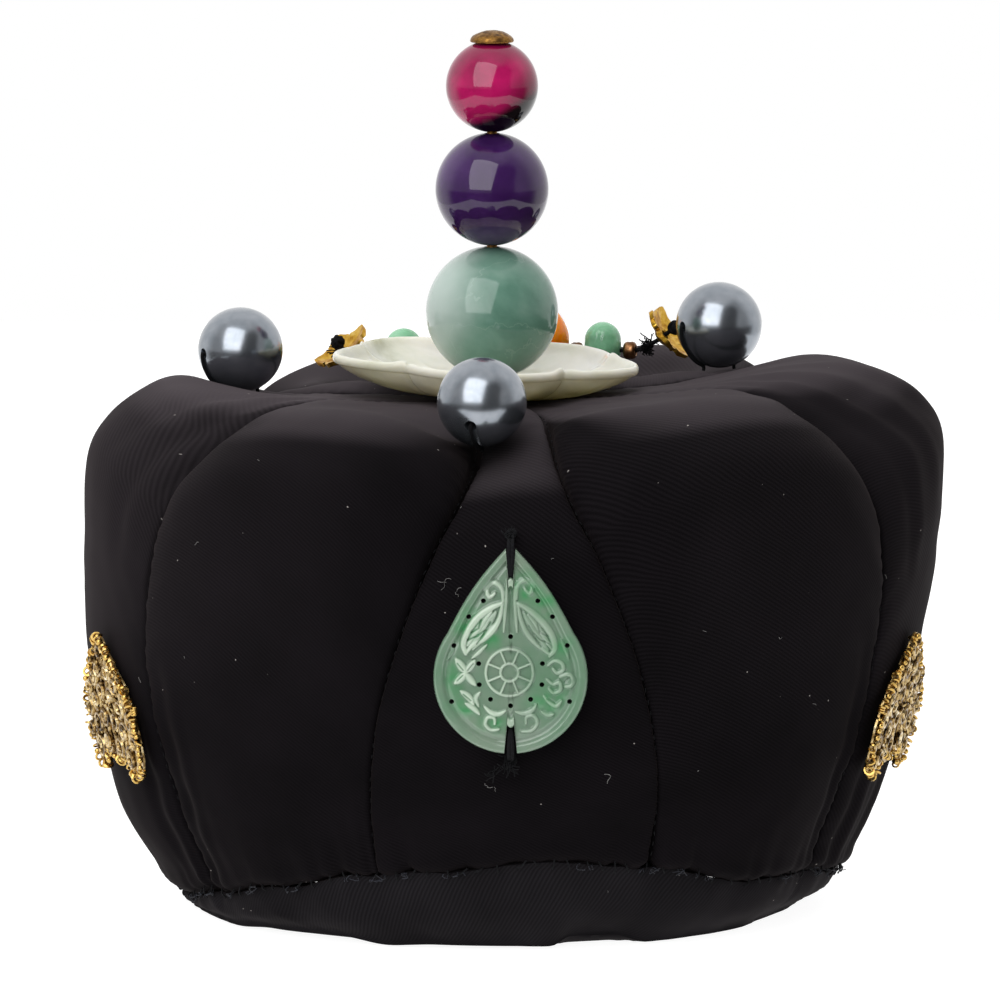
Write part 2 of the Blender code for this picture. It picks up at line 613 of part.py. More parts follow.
def add_plaque():
    """Jade teardrop with a raised border, a raised ring, two notches and drilled holes."""
    place = plaque_place()
    outline = plaque_outline()
    plaque = prism("jade_plaque", outline, 0.0, PLAQUE_THICK, "plaque_jade", place)
    scale = (PLAQUE_RADIUS - PLAQUE_BORDER) / PLAQUE_RADIUS
    field = [(x * scale, PLAQUE_RADIUS + (y - PLAQUE_RADIUS) * scale) for x, y in outline]
    sunk = prism("plaque_field_cutter", field, PLAQUE_THICK - PLAQUE_SUNK, PLAQUE_THICK + 2,
                 "black_thread", place)
    cut(plaque, sunk, "field")
    x, y, outer, inner, height = ROUNDEL
    ring = prism("plaque_ring_guide", round_outline(x, y, outer, 14),
                 PLAQUE_THICK - PLAQUE_SUNK - 0.5, PLAQUE_THICK - PLAQUE_SUNK + height,
                 "plaque_jade", place)
    cut(plaque, ring, "roundel", "UNION")
    core = prism("plaque_core_cutter", round_outline(x, y, inner, 12), PLAQUE_THICK - PLAQUE_SUNK,
                 PLAQUE_THICK + 2, "black_thread", place)
    cut(plaque, core, "roundel_field")
    outlines = []
    for _, end, width in PLAQUE_NOTCHES:
        if end > PLAQUE_RADIUS:
            outlines.append([(-width / 2, end), (0.0, end - 0.4), (width / 2, end),
                             (width / 2, PLAQUE_HEIGHT + 2), (-width / 2, PLAQUE_HEIGHT + 2)])
        else:
            outlines.append([(width / 2, -2.0), (width / 2, end), (0.0, end + 0.4),
                             (-width / 2, end), (-width / 2, -2.0)])
    for across, up in PLAQUE_PAIRS:
        for side in ((1, -1) if across else (1,)):
            outlines.append(round_outline(side * across, up, PLAQUE_HOLE, 6))
    cut(plaque, add_cutters("plaque_hole_cutter", outlines, -2.0, PLAQUE_THICK + 2, place), "holes")


def plaque_point(across, up, out):
    return plaque_place() @ (Vector((across, up, out)) * MM) / MM


def add_plaque_threads():
    """A loop of thread through each notch, from the silk behind to the silk past the edge."""
    front = PLAQUE_THICK + THREAD_RADIUS + GAP / MM
    for end, start, edge, past in (("top", 30.9, PLAQUE_HEIGHT + 0.9, 38.2), ("bottom", 3.7, -0.9, -3.0)):
        behind = plaque_point(0.0, start, 0.25)
        route = [behind, plaque_point(0.0, start, 0.6 * PLAQUE_THICK),
                 plaque_point(0.0, 0.8 * start + 0.2 * edge, front - 0.4),
                 plaque_point(0.0, 0.4 * start + 0.6 * edge, front - 0.4),
                 plaque_point(0.0, edge, 0.7 * PLAQUE_THICK),
                 plaque_point(0.0, past, 0.0)]
        foot = route[-1]
        azimuth = math.degrees(math.atan2(foot.x, -foot.y))
        foot.y = -(silk_radius(azimuth, foot.z) + THREAD_RADIUS + GAP / MM)
        add_thread("plaque_thread_" + end, [tuple(p) for p in route], THREAD_RADIUS)


def silk_radius(azimuth, height):
    """Reach of the silk's side at an azimuth and height, in mm."""
    low, high = 6.0, len(PROFILE) - 1.0
    for _ in range(30):
        middle = 0.5 * (low + high)
        if body_point(azimuth, middle).z > height:
            low = middle
        else:
            high = middle
    point = body_point(azimuth, low)
    return math.hypot(point.x, point.y)


def ornament_place(side):
    """Plane that lies on the silk at the ornament's middle, leaning with the body."""
    azimuth = side * ORNAMENT_AZIMUTH
    t_low, t_high = row_at(azimuth, ORNAMENT_FOOT_Z + 3.0), row_at(azimuth, ORNAMENT_FOOT_Z + 24.0)
    low, high = body_point(azimuth, t_low), body_point(azimuth, t_high)
    up = (high - low).normalized()
    beside = body_point(azimuth + 4.0, row_at(azimuth + 4.0, ORNAMENT_FOOT_Z + ORNAMENT_RISE))
    before = body_point(azimuth - 4.0, row_at(azimuth - 4.0, ORNAMENT_FOOT_Z + ORNAMENT_RISE))
    across = (beside - before)
    across = (across - up * across.dot(up)).normalized()
    out = across.cross(up)
    middle = body_point(azimuth, row_at(azimuth, ORNAMENT_FOOT_Z + ORNAMENT_RISE))
    foot = middle - up * ORNAMENT_RISE + out * ORNAMENT_OFF
    turn = Matrix((across, up, out)).transposed().to_4x4()
    return Matrix.Translation(foot * MM) @ turn


def row_at(azimuth, height):
    low, high = 6.0, len(PROFILE) - 1.0
    for _ in range(30):
        middle = 0.5 * (low + high)
        if body_point(azimuth, middle).z > height:
            low = middle
        else:
            high = middle
    return low


def pierced_plate(name, outlines, thick, finish, place):
    """Plate cut out along its outer outline and its holes, as one closed mesh."""
    curve = bpy.data.curves.new(name, "CURVE")
    curve.dimensions = "2D"
    curve.fill_mode = "BOTH"
    curve.extrude = 0.5 * thick * MM
    for outline in outlines:
        line = curve.splines.new("POLY")
        line.points.add(len(outline) - 1)
        line.use_cyclic_u = True
        for point, (x, y) in zip(line.points, outline):
            point.co = (x * MM, y * MM, 0.0, 1.0)
    flat = bpy.data.objects.new(name + "_outline", curve)
    bpy.context.scene.collection.objects.link(flat)
    bm = bmesh.new()
    bm.from_mesh(flat.to_mesh())
    flat.to_mesh_clear()
    bpy.data.objects.remove(flat, do_unlink=True)
    bmesh.ops.translate(bm, verts=bm.verts, vec=(0, 0, 0.5 * thick * MM))
    return add_object(name, bm, finish, place)


def add_ornaments():
    """Flat gilt plates with two feet and pierced gaps, one at each side."""
    right = [(half, up) for up, half in ORNAMENT_OUTLINE]
    left = [(-half, up) for up, half in reversed(ORNAMENT_OUTLINE)]
    feet_left = [(-half, up) for up, half in ORNAMENT_FEET]
    feet_right = [(half, up) for up, half in reversed(ORNAMENT_FEET)]
    outline = right + left + feet_left + feet_right
    holes = []
    for across, up, radius in ORNAMENT_HOLES:
        for hand in ((1, -1) if across else (1,)):
            holes.append(round_outline(hand * across, up, radius, 6))
    for name, side in (("left", -1), ("right", 1)):
        pierced_plate("applique_" + name, [outline] + holes, ORNAMENT_THICK, "gilt_brass",
                      ornament_place(side))


def strand_point(x):
    bow = STRAND_BOW * (x / STRAND_HALF) ** 2
    return Vector((x, STRAND_Y - bow, STRAND_Z + STRAND_RISE * x))


def strand_direction(x):
    return (strand_point(x + 0.5) - strand_point(x - 0.5)).normalized()


def standing_bead(name, outline, x, finish):
    """Bead that stands on the silk, drilled crosswise near its foot for the strand."""
    at = strand_point(x)
    place = Matrix.Translation(at * MM)
    bead = spun(name, outline, 12, finish, place, False)
    bm = bmesh.new()
    bmesh.ops.create_cone(bm, cap_ends=True, segments=8, radius1=STRAND_BORE * MM,
                          radius2=STRAND_BORE * MM, depth=16 * MM)
    cutter = add_object(name + "_bore", bm, "black_thread", facing(at, strand_direction(x)))
    cut(bead, cutter, "bore")


def add_strand():
    """Beads of the back strand on their thread."""
    for name, x in STRAND:
        if name.startswith("green"):
            dome = [(0.0, GREEN_TOP)]
            for k in range(1, 5):
                angle = math.pi / 2 * k / 4
                dome.append((GREEN_RADIUS * math.sin(angle),
                             GREEN_TOP - GREEN_RADIUS * (1 - math.cos(angle))))
            outline = dome + [(GREEN_RADIUS, GREEN_FOOT + 1.0), (0.75 * GREEN_RADIUS, GREEN_FOOT),
                              (0.0, GREEN_FOOT)]
            standing_bead(name, outline, x, "aventurine")
        elif name.startswith("amber"):
            outline = [(0.0, AMBER_TOP)]
            for k in range(1, 6):
                part = k / 5
                outline.append((AMBER_RADIUS * math.sin(math.pi / 2 * part) ** 1.1,
                                AMBER_TOP - (AMBER_TOP - AMBER_WIDE) * part))
            outline += [(0.86 * AMBER_RADIUS, AMBER_FOOT + 1.5), (0.5 * AMBER_RADIUS, AMBER_FOOT + 0.3),
                        (0.0, AMBER_FOOT)]
            standing_bead(name, outline, x, "amber")
        elif name == "middle_bead":
            spun(name, drilled_ball(MIDDLE_RADIUS, STRAND_BORE, 6), 12, "aventurine",
                 facing(strand_point(x), strand_direction(x)), True)
        else:
            outline = [(STRAND_BORE, SPACER_HALF), (0.8 * SPACER_RADIUS, SPACER_HALF),
                       (SPACER_RADIUS, 0.45 * SPACER_HALF), (SPACER_RADIUS, -0.45 * SPACER_HALF),
                       (0.8 * SPACER_RADIUS, -SPACER_HALF), (STRAND_BORE, -SPACER_HALF)]
            spun(name, outline, 10, "bronze", facing(strand_point(x), strand_direction(x)), True)


def flower_place(side):
    centre, direction = FLOWERS[side]
    return facing(centre, direction)


def add_flowers():
    """Five-petal gilt caps, cupped away from the strand, with a hole for its thread."""
    steps = FLOWER_PETALS * 6
    for side in FLOWERS:
        bm = bmesh.new()
        rings = []
        for layer in (0.0, FLOWER_THICK):
            grid = []
            for i in range(steps):
                turn = math.tau * i / steps
                lobe = abs(math.cos(0.5 * FLOWER_PETALS * turn)) ** 0.55
                edge = FLOWER_WAIST + (FLOWER_RADIUS - FLOWER_WAIST) * lobe
                line = []
                for r in (STRAND_BORE + 0.1, 0.55 * edge, edge):
                    rise = FLOWER_CUP * (r / FLOWER_RADIUS) ** 2
                    line.append(bm.verts.new((r * math.cos(turn) * MM, r * math.sin(turn) * MM,
                                              (rise + layer) * MM)))
                grid.append(line)
            rings.append(grid)
        low, high = rings
        for i in range(steps):
            n = (i + 1) % steps
            for k in range(2):
                for grid in rings:
                    bm.faces.new((grid[i][k], grid[i][k + 1], grid[n][k + 1], grid[n][k]))
            for k in (0, 2):
                bm.faces.new((low[i][k], high[i][k], high[n][k], low[n][k]))
        add_object("flower_" + side, bm, "gilt_brass", flower_place(side))


def add_strand_thread():
    """Thread through every bead of the strand and both flowers, knotted past each flower."""
    route = []
    for side, sign in (("left", -1), ("right", 1)):
        centre, direction = Vector(FLOWERS[side][0]), Vector(FLOWERS[side][1]).normalized()
        outer = centre + direction * (FLOWER_THICK + 1.2)
        inner = centre - direction * 1.2
        bm = bmesh.new()
        bmesh.ops.create_icosphere(bm, subdivisions=2, radius=KNOT_RADIUS * MM)
        knot_at = outer + direction * (KNOT_RADIUS + GAP / MM)
        add_object("knot_" + side, bm, "black_thread", Matrix.Translation(knot_at * MM))
        end = [outer, centre + direction * 0.4, inner]
        route.append(end)
    middle = [strand_point(x) for x in (-25.6, -21.0, -15.0, -10.0, -5.0, 0.0, 5.0, 10.0, 15.0, 20.0, 22.2)]
    points = route[0] + middle + route[1][::-1]
    add_thread("strand_thread", [tuple(p) for p in points], STRAND_THREAD)


clear_scene()
add_panels()
add_hem_band()
add_dish()
add_finial()
add_pearls()
add_plaque()
add_plaque_threads()
add_ornaments()
add_strand()
add_flowers()
add_strand_thread()
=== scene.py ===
# Dressed model of a padded black silk bridal coronet with a jade dish, a stack of three beads,
# three grey pearls, a carved jade teardrop, gilt side ornaments and a strand of beads at the back.
# Metres, +Z up, the front towards -Y. Sizes in the dictionaries are millimetres.
import math
import random

import bmesh
import bpy
from mathutils import Matrix, Vector, noise


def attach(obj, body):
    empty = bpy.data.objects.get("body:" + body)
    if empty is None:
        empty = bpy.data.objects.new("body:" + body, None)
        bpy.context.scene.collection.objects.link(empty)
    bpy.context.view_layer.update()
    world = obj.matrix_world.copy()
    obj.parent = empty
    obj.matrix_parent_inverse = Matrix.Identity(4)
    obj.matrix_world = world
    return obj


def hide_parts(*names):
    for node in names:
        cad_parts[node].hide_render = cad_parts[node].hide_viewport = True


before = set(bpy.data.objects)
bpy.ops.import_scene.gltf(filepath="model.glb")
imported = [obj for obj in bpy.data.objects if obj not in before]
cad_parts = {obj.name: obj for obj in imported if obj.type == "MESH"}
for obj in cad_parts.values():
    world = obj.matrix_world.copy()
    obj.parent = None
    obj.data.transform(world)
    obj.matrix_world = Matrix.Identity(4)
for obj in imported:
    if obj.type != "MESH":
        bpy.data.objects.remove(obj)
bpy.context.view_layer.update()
mm = 0.001
random.seed(7)


# small tools

def srgb(code):
    parts = [int(code[i:i + 2], 16) / 255 for i in (1, 3, 5)]
    linear = [c / 12.92 if c <= 0.04045 else ((c + 0.055) / 1.055) ** 2.4 for c in parts]
    return (*linear, 1.0)


def addNode(tree, kind, settings=(), values=(), links=()):
    # one shader node: its own settings, the numbers on its sockets, and what feeds it
    made = tree.nodes.new(kind)
    for name, value in dict(settings).items():
        setattr(made, name, value)
    for name, value in dict(values).items():
        made.inputs[name].default_value = value
    for name, socket in dict(links).items():
        tree.links.new(socket, made.inputs[name])
    return made


def objectPlace(tree):
    return addNode(tree, "ShaderNodeTexCoord").outputs["Object"]


def noiseAt(tree, where, scale, detail=2.0, rough=0.5):
    return addNode(tree, "ShaderNodeTexNoise",
                   values={"Scale": scale, "Detail": detail, "Roughness": rough},
                   links={"Vector": where}).outputs["Fac"]


def reckon(tree, operation, numbers, sockets):
    return addNode(tree, "ShaderNodeMath", {"operation": operation}, numbers,
                   sockets).outputs["Value"]


def rampTo(tree, share, stops):
    # stops: place and sRGB colour
    ramp = addNode(tree, "ShaderNodeValToRGB", links={"Fac": share})
    marks = ramp.color_ramp.elements
    while len(marks) < len(stops):
        marks.new(0.5)
    for mark, (place, colour) in zip(marks, stops):
        mark.position = place
        mark.color = srgb(colour)
    return ramp.outputs["Color"]


def rangeTo(tree, value, start, end, atStart=0.0, atEnd=1.0, kind="LINEAR"):
    return addNode(tree, "ShaderNodeMapRange", {"interpolation_type": kind},
                   {"From Min": start, "From Max": end, "To Min": atStart, "To Max": atEnd},
                   {"Value": value}).outputs["Result"]


def attributeShare(tree, name):
    return addNode(tree, "ShaderNodeAttribute", {"attribute_name": name}).outputs["Fac"]


def roughen(tree, shader, height, strength, distance):
    # a bump from a height socket, its distance in mm
    relief = addNode(tree, "ShaderNodeBump", values={"Distance": distance * mm},
                     links={"Height": height})
    if isinstance(strength, float):
        relief.inputs["Strength"].default_value = strength
    else:
        tree.links.new(strength, relief.inputs["Strength"])
    tree.links.new(relief.outputs["Normal"], shader.inputs["Normal"])


def newMaterial(name, base, rough=0.5, metal=0.0, extra=()):
    made = bpy.data.materials.new(name)
    made.use_nodes = True
    shader = made.node_tree.nodes["Principled BSDF"]
    shader.inputs["Base Color"].default_value = srgb(base)
    shader.inputs["Roughness"].default_value = rough
    shader.inputs["Metallic"].default_value = metal
    for key, value in dict(extra).items():
        shader.inputs[key].default_value = value
    made.diffuse_color = srgb(base)
    return made, made.node_tree, shader


def tintOver(material, share, colour):
    # lays a colour over what already feeds the base colour, as far as the share says
    tree = material.node_tree
    base = tree.nodes["Principled BSDF"].inputs["Base Color"]
    mixed = addNode(tree, "ShaderNodeMixRGB", values={"Color2": srgb(colour)},
                    links={"Fac": share, "Color1": base.links[0].from_socket})
    tree.links.new(mixed.outputs["Color"], base)


def speckled(name, base, stops, scale, rough, metal=0.0, extra=(), detail=2.0):
    # a material whose colour wanders between the stops at one grain
    made, tree, shader = newMaterial(name, base, rough, metal, extra)
    grey = noiseAt(tree, objectPlace(tree), scale, detail)
    tree.links.new(rampTo(tree, grey, stops), shader.inputs["Base Color"])
    return made


def addObject(name, data):
    made = bpy.data.objects.new(name, data)
    bpy.context.scene.collection.objects.link(made)
    return made


def toMesh(name, bm):
    mesh = bpy.data.meshes.new(name)
    bm.to_mesh(mesh)
    bm.free()
    return mesh


def makePiece(name, bm, looks, nodes=(), merge=0.002):
    # closes a bmesh off as a named piece whose place is in its mesh
    bmesh.ops.remove_doubles(bm, verts=bm.verts, dist=merge * mm)
    bmesh.ops.recalc_face_normals(bm, faces=bm.faces)
    mesh = toMesh(name, bm)
    mesh.shade_smooth()
    mesh.set_sharp_from_angle(angle=math.radians(50))
    mesh.materials.append(looks)
    made = addObject(name, mesh)
    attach(made, "root")
    if nodes:
        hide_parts(*nodes)
    return made


def mixAlong(table, x):
    # smooth reading of a table of (place, value) rows
    if x <= table[0][0]:
        return table[0][1]
    for (x0, y0), (x1, y1) in zip(table, table[1:]):
        if x <= x1:
            f = (x - x0) / (x1 - x0)
            return y0 + (y1 - y0) * f * f * (3 - 2 * f)
    return table[-1][1]


def throughPoints(values, t):
    # Catmull-Rom through evenly spaced values
    last = len(values) - 1
    i = max(0, min(int(t), last - 1))
    f = t - i
    a, b, c, d = values[max(i - 1, 0)], values[i], values[i + 1], values[min(i + 2, last)]
    return 0.5 * (2 * b + (c - a) * f + (2 * a - 5 * b + 4 * c - d) * f * f
                  + (3 * b - a - 3 * c + d) * f * f * f)


def smoothPath(points, steps):
    columns = list(zip(*points))
    count = (len(points) - 1) * steps
    return [Vector([throughPoints(c, k / steps) for c in columns]) for k in range(count + 1)]


def bump(x, centre, spread):
    return math.exp(-((x - centre) / spread) ** 2)


def smoothStep(x, low, high):
    f = min(1.0, max(0.0, (x - low) / (high - low)))
    return f * f * (3 - 2 * f)


def lastTrue(low, high, holds, halvings=22):
    # the furthest place from low towards high at which holds is still true
    for _ in range(halvings):
        middle = 0.5 * (low + high)
        if holds(middle):
            low = middle
        else:
            high = middle
    return low


def signedTurn(azimuth):
    return (azimuth + 180.0) % 360.0 - 180.0


def outwards(turn):
    return Vector((math.sin(turn), -math.cos(turn), 0.0))


def sideways(turn):
    return Vector((math.cos(turn), math.sin(turn), 0.0))


def upBy(height):
    return Vector((0.0, 0.0, height))


def grain(x, y, z, size):
    return noise.noise(Vector((x, y, z)) / size)


def shaken(spread):
    return Vector([random.gauss(0, spread) for _ in range(3)])


def sized(x, y, z):
    return Matrix.Diagonal((x * mm, y * mm, z * mm, 1.0))


def spinProfile(bm, outline, steps, closed, place=None):
    # turns (radius, height) points in mm round Z, then moves what it made to its place
    verts = [bm.verts.new((r * mm, 0.0, z * mm)) for r, z in outline]
    pairs = list(zip(verts, verts[1:])) + ([(verts[-1], verts[0])] if closed else [])
    edges = [bm.edges.new(pair) for pair in pairs]
    before = set(bm.verts) - set(verts)
    bmesh.ops.spin(bm, geom=verts + edges, cent=(0, 0, 0), axis=(0, 0, 1), angle=math.tau,
                   steps=steps, use_merge=True)
    made = [v for v in bm.verts if v not in before]
    if place is not None:
        bmesh.ops.transform(bm, matrix=place, verts=made)
    return made


def facing(place, direction):
    turn = Vector(direction).normalized().to_track_quat("Z", "Y").to_matrix().to_4x4()
    return Matrix.Translation(Vector(place) * mm) @ turn


def tubeAlong(bm, points, radius, sides=6):
    # a thread or wire along points in mm: a bevelled curve turned into mesh
    curve = bpy.data.curves.new("wire", "CURVE")
    curve.dimensions = "3D"
    curve.bevel_depth = radius * mm
    curve.bevel_resolution = max(0, sides // 2 - 2)
    curve.use_fill_caps = True
    line = curve.splines.new("POLY")
    line.points.add(len(points) - 1)
    for spot, point in zip(line.points, points):
        spot.co = (*(Vector(point) * mm), 1.0)
    wire = bpy.data.objects.new("wire", curve)
    bm.from_mesh(wire.to_mesh())
    wire.to_mesh_clear()
    bpy.data.objects.remove(wire)
    bpy.data.curves.remove(curve)


def windKnot(bm, loop, radius):
    tubeAlong(bm, smoothPath(loop + [loop[0]], 2), radius)


def smallMesh(name, shape):
    # a little mesh to be stamped many times; shape fills its bmesh
    bm = bmesh.new()
    shape(bm)
    return toMesh(name, bm)


def smallBall(name, segments, rings):
    return smallMesh(name, lambda bm: bmesh.ops.create_uvsphere(
        bm, u_segments=segments, v_segments=rings, radius=1.0))


def stamp(bm, mesh, place):
    mesh.transform(place)
    bm.from_mesh(mesh)
    mesh.transform(place.inverted())


def fillRing(bm):
    # ring of wire, radius 1, wire radius 0.32, axis Z
    made = bmesh.ops.create_circle(bm, segments=5, radius=0.32)["verts"]
    turn = Matrix.Translation((1, 0, 0)) @ Matrix.Rotation(math.pi / 2, 4, "X")
    bmesh.ops.transform(bm, matrix=turn, verts=made)
    bmesh.ops.spin(bm, geom=list(bm.verts) + list(bm.edges), cent=(0, 0, 0), axis=(0, 0, 1),
                   angle=math.tau, steps=10, use_merge=True)


ringMesh = smallMesh("ring", fillRing)
ballMesh = smallBall("ball", 8, 6)
stitchMesh = smallBall("stitch", 6, 5)

# camera and light

view = {"target": (-2.2945, 0.0, 70.853), "place": (-2.2945, -1784.60, 305.80),
        "halfFrame": 88.25, "distance": 1800.0, "near": 50.0, "far": 20000.0}
# one big softbox high at the left front, and a weak lamp overhead that no stone mirrors
softbox = {"turn": -24.0, "height": 36.0, "away": 1200, "raised": 70, "size": (1120, 1400),
           "watts": 14.0}
overhead = {"place": (-100, 150, 1300), "size": (1000, 1000), "watts": 9.0}
# what the room shows by direction, each a unit vector's part and the two ends of a soft step:
# white walls behind and at the sides, a greyer one in front with a dark gap at the right of the
# camera, a pale ceiling, and darkness below the table's front edge
room = {"frontWall": (-0.25, 0.3), "frontShare": 0.46, "gapLeft": (-0.04, 0.03),
        "gapRight": (0.66, 0.8), "gapFront": (-0.45, -0.2), "gapTop": (0.75, 0.95),
        "gapDark": 0.86, "below": (-0.08, 0.0), "belowFront": (-0.1, 0.35), "belowDark": 0.85,
        "ceiling": (0.7, 0.95), "ceilingShare": 0.85}
table = {"front": -340.0, "back": 900.0, "side": 330.0, "under": 0.2}

print("camera and light")
camera = addObject("camera", bpy.data.cameras.new("camera"))
camera.location = Vector(view["place"]) * mm
aim = Vector(view["target"]) - Vector(view["place"])
camera.rotation_euler = aim.to_track_quat("-Z", "Y").to_euler()
camera.data.sensor_fit = "HORIZONTAL"
camera.data.angle = 2 * math.atan(view["halfFrame"] / view["distance"])
camera.data.clip_start, camera.data.clip_end = view["near"] * mm, view["far"] * mm
bpy.context.scene.camera = camera
bpy.context.scene.view_settings.view_transform = "Standard"


def addLamp(name, place, size, watts):
    light = bpy.data.lights.new(name, "AREA")
    light.shape = "RECTANGLE"
    light.size, light.size_y = (side * mm for side in size)
    light.energy = watts
    lamp = addObject(name, light)
    lamp.location = Vector(place) * mm
    return lamp


boxTurn, boxRise = math.radians(softbox["turn"]), math.radians(softbox["height"])
boxAt = (outwards(boxTurn) * math.cos(boxRise) + upBy(math.sin(boxRise))) * softbox["away"]
boxLamp = addLamp("softbox", boxAt + upBy(softbox["raised"]), softbox["size"], softbox["watts"])
boxLamp.rotation_euler = (-boxAt).to_track_quat("-Z", "Y").to_euler()
addLamp("overhead", **overhead).visible_glossy = False

world = bpy.data.worlds.new("studio")
world.use_nodes = True
bpy.context.scene.world = world
sky = world.node_tree
where = addNode(sky, "ShaderNodeTexCoord")
split = addNode(sky, "ShaderNodeSeparateXYZ", links={"Vector": where.outputs["Generated"]})


def skyBand(axis, ends, atLow, atHigh):
    return rangeTo(sky, split.outputs[axis], *ends, atLow, atHigh, "SMOOTHSTEP")


def skyMath(operation, one, other):
    return reckon(sky, operation, (), {0: one, 1: other})


def darkened(light, share, most):
    # light, less the given part of it where the share is 1
    return skyMath("MULTIPLY", light,
                   reckon(sky, "MULTIPLY_ADD", {1: -most, 2: 1.0}, {0: share}))


gapAcross = skyMath("MULTIPLY", skyBand("X", room["gapLeft"], 0.0, 1.0),
                    skyBand("X", room["gapRight"], 1.0, 0.0))
gapAhead = skyMath("MULTIPLY", skyBand("Y", room["gapFront"], 1.0, 0.0),
                   skyBand("Z", room["gapTop"], 1.0, 0.0))
below = skyMath("MULTIPLY", skyBand("Z", room["below"], 1.0, 0.0),
                skyBand("Y", room["belowFront"], 1.0, 0.0))
walls = skyBand("Y", room["frontWall"], room["frontShare"], 1.0)
walls = darkened(walls, skyMath("MULTIPLY", gapAcross, gapAhead), room["gapDark"])
walls = darkened(walls, below, room["belowDark"])
ceiling = skyBand("Z", room["ceiling"], 0.0, room["ceilingShare"])
sky.links.new(skyMath("MAXIMUM", walls, ceiling), sky.nodes["Background"].inputs["Strength"])
sky.nodes["Background"].inputs["Color"].default_value = (1.0, 1.0, 1.0, 1.0)

# frosted acrylic table, lit from below so that it stays white under the crown
acrylic, acrylicTree, acrylicShader = newMaterial("frosted_acrylic_backlit", "#8A8A8A", 0.8, extra={
    "Emission Color": (1.0, 1.0, 1.0, 1.0), "Emission Strength": 0.93})
roughen(acrylicTree, acrylicShader, noiseAt(acrylicTree, objectPlace(acrylicTree), 900.0, 3.0),
        0.05, 0.1)
bm = bmesh.new()
bmesh.ops.create_grid(bm, x_segments=1, y_segments=1, size=0.5)
for vert in bm.verts:
    across, deep = vert.co.x * 2 * table["side"], vert.co.y + 0.5
    vert.co = Vector((across, table["front"] + deep * (table["back"] - table["front"]), 0.0)) * mm
floor = addObject("floor", toMesh("floor", bm))
floor.location.z = -table["under"] * mm
floor.data.materials.append(acrylic)

# black silk

# the lightest silk colour is a painted sheen, laid over the tops and sides where the light falls
silkLook = {"deep": "#0B0A0B", "worn": "#161316", "hem": "#272528", "paintedSheen": "#3E393C",
            "ribSpacing": 0.6, "ribHeight": 0.035, "ribs": 0.4, "wornRibs": 0.04, "weave": 3.2,
            "patches": 0.06, "cells": 0.42, "dustless": 0.86, "dust": "#8D8884"}


def makeSilk(name, slope, worn):
    # silk twill: fine diagonal ribs, a soft sheen at grazing angles, pale lint caught in it
    made, tree, shader = newMaterial(name, silkLook["deep"], 0.7,
                                     extra={"Sheen Weight": 0.02, "Sheen Roughness": 0.4,
                                            "Sheen Tint": srgb("#F3DCDA"),
                                            "Specular IOR Level": 0.01})
    cloth = addNode(tree, "ShaderNodeUVMap", {"uv_map": "cloth"}).outputs["UV"]
    slanted = addNode(tree, "ShaderNodeMapping", values={"Rotation": (0, 0, math.radians(slope))},
                      links={"Vector": cloth})
    # one wave per turn of the phase, so scale is tau / 20 per UV unit of one millimetre
    ribs = addNode(tree, "ShaderNodeTexWave", {"wave_type": "BANDS", "bands_direction": "X"},
                   {"Scale": 0.314 / silkLook["ribSpacing"], "Distortion": 0.6, "Detail": 2.0,
                    "Detail Scale": 0.35}, {"Vector": slanted.outputs["Vector"]})
    # the tone wanders in patches towards a second colour; for the hem that colour is lighter, to
    # paint in light from the lit table below
    tone = addNode(tree, "ShaderNodeMixRGB",
                   values={"Color1": srgb(silkLook["deep"]), "Color2": srgb(worn)},
                   links={"Fac": noiseAt(tree, cloth, silkLook["patches"], 3.0)})
    tree.links.new(tone.outputs["Color"], shader.inputs["Base Color"])
    # painted sheen: the silk is painted lighter where it faces up and, less so, at the sides, where
    # the light falls on it
    paintedSheen = attributeShare(tree, "paintedSheen")
    tintOver(made, paintedSheen, silkLook["paintedSheen"])
    # the ribs are drawn fainter where the sheen is painted on
    crisp = reckon(tree, "MULTIPLY_ADD", {1: silkLook["wornRibs"] - silkLook["ribs"],
                                          2: silkLook["ribs"]}, {0: paintedSheen})
    ribbed = addNode(tree, "ShaderNodeMixRGB", {"blend_type": "MULTIPLY"}, links={
        "Fac": crisp, "Color1": shader.inputs["Base Color"].links[0].from_socket,
        "Color2": ribs.outputs["Color"]})
    tree.links.new(ribbed.outputs["Color"], shader.inputs["Base Color"])
    # specks of dust: the cells' middles, in a few of the cells
    cells = addNode(tree, "ShaderNodeTexVoronoi", {"feature": "F1"}, {"Scale": silkLook["cells"]},
                    {"Vector": cloth})
    speck = rangeTo(tree, cells.outputs["Distance"], 0.075, 0.03)
    draw = addNode(tree, "ShaderNodeSeparateColor", links={"Color": cells.outputs["Color"]})
    few = reckon(tree, "GREATER_THAN", {1: silkLook["dustless"]}, {0: draw.outputs["Red"]})
    tintOver(made, reckon(tree, "MULTIPLY", (), {0: speck, 1: few}), silkLook["dust"])
    heights = reckon(tree, "MULTIPLY_ADD", {1: 0.35},
                     {0: noiseAt(tree, cloth, silkLook["weave"]), 2: ribs.outputs["Fac"]})
    roughen(tree, shader, heights, crisp, silkLook["ribHeight"])
    return made


silkPanel = makeSilk("black_silk_twill", -57.0, silkLook["worn"])
# the hem band's lighter tone is painted light from the lit table below
silkHem = makeSilk("black_silk_twill_bias", -30.0, silkLook["hem"])
# cotton sewing thread: dull black, and with a blue cast where it was respun
threadBlack = speckled("black_cotton_thread", "#0C0C0E", [(0.3, "#060607"), (0.7, "#111114")],
                       2200.0, 0.85, extra={"Specular IOR Level": 0.15})
threadBlue = speckled("navy_cotton_thread", "#23273A", [(0.3, "#0B0C11"), (0.7, "#1B1E2A")],
                      1500.0, 0.75)
# pale dry fibres that the black cloth has picked up
lintGrey = speckled("grey_lint_fibre", "#6E6D6B", [(0.3, "#3E3D3C"), (0.7, "#7A7876")], 700.0, 0.9)

# the padded body

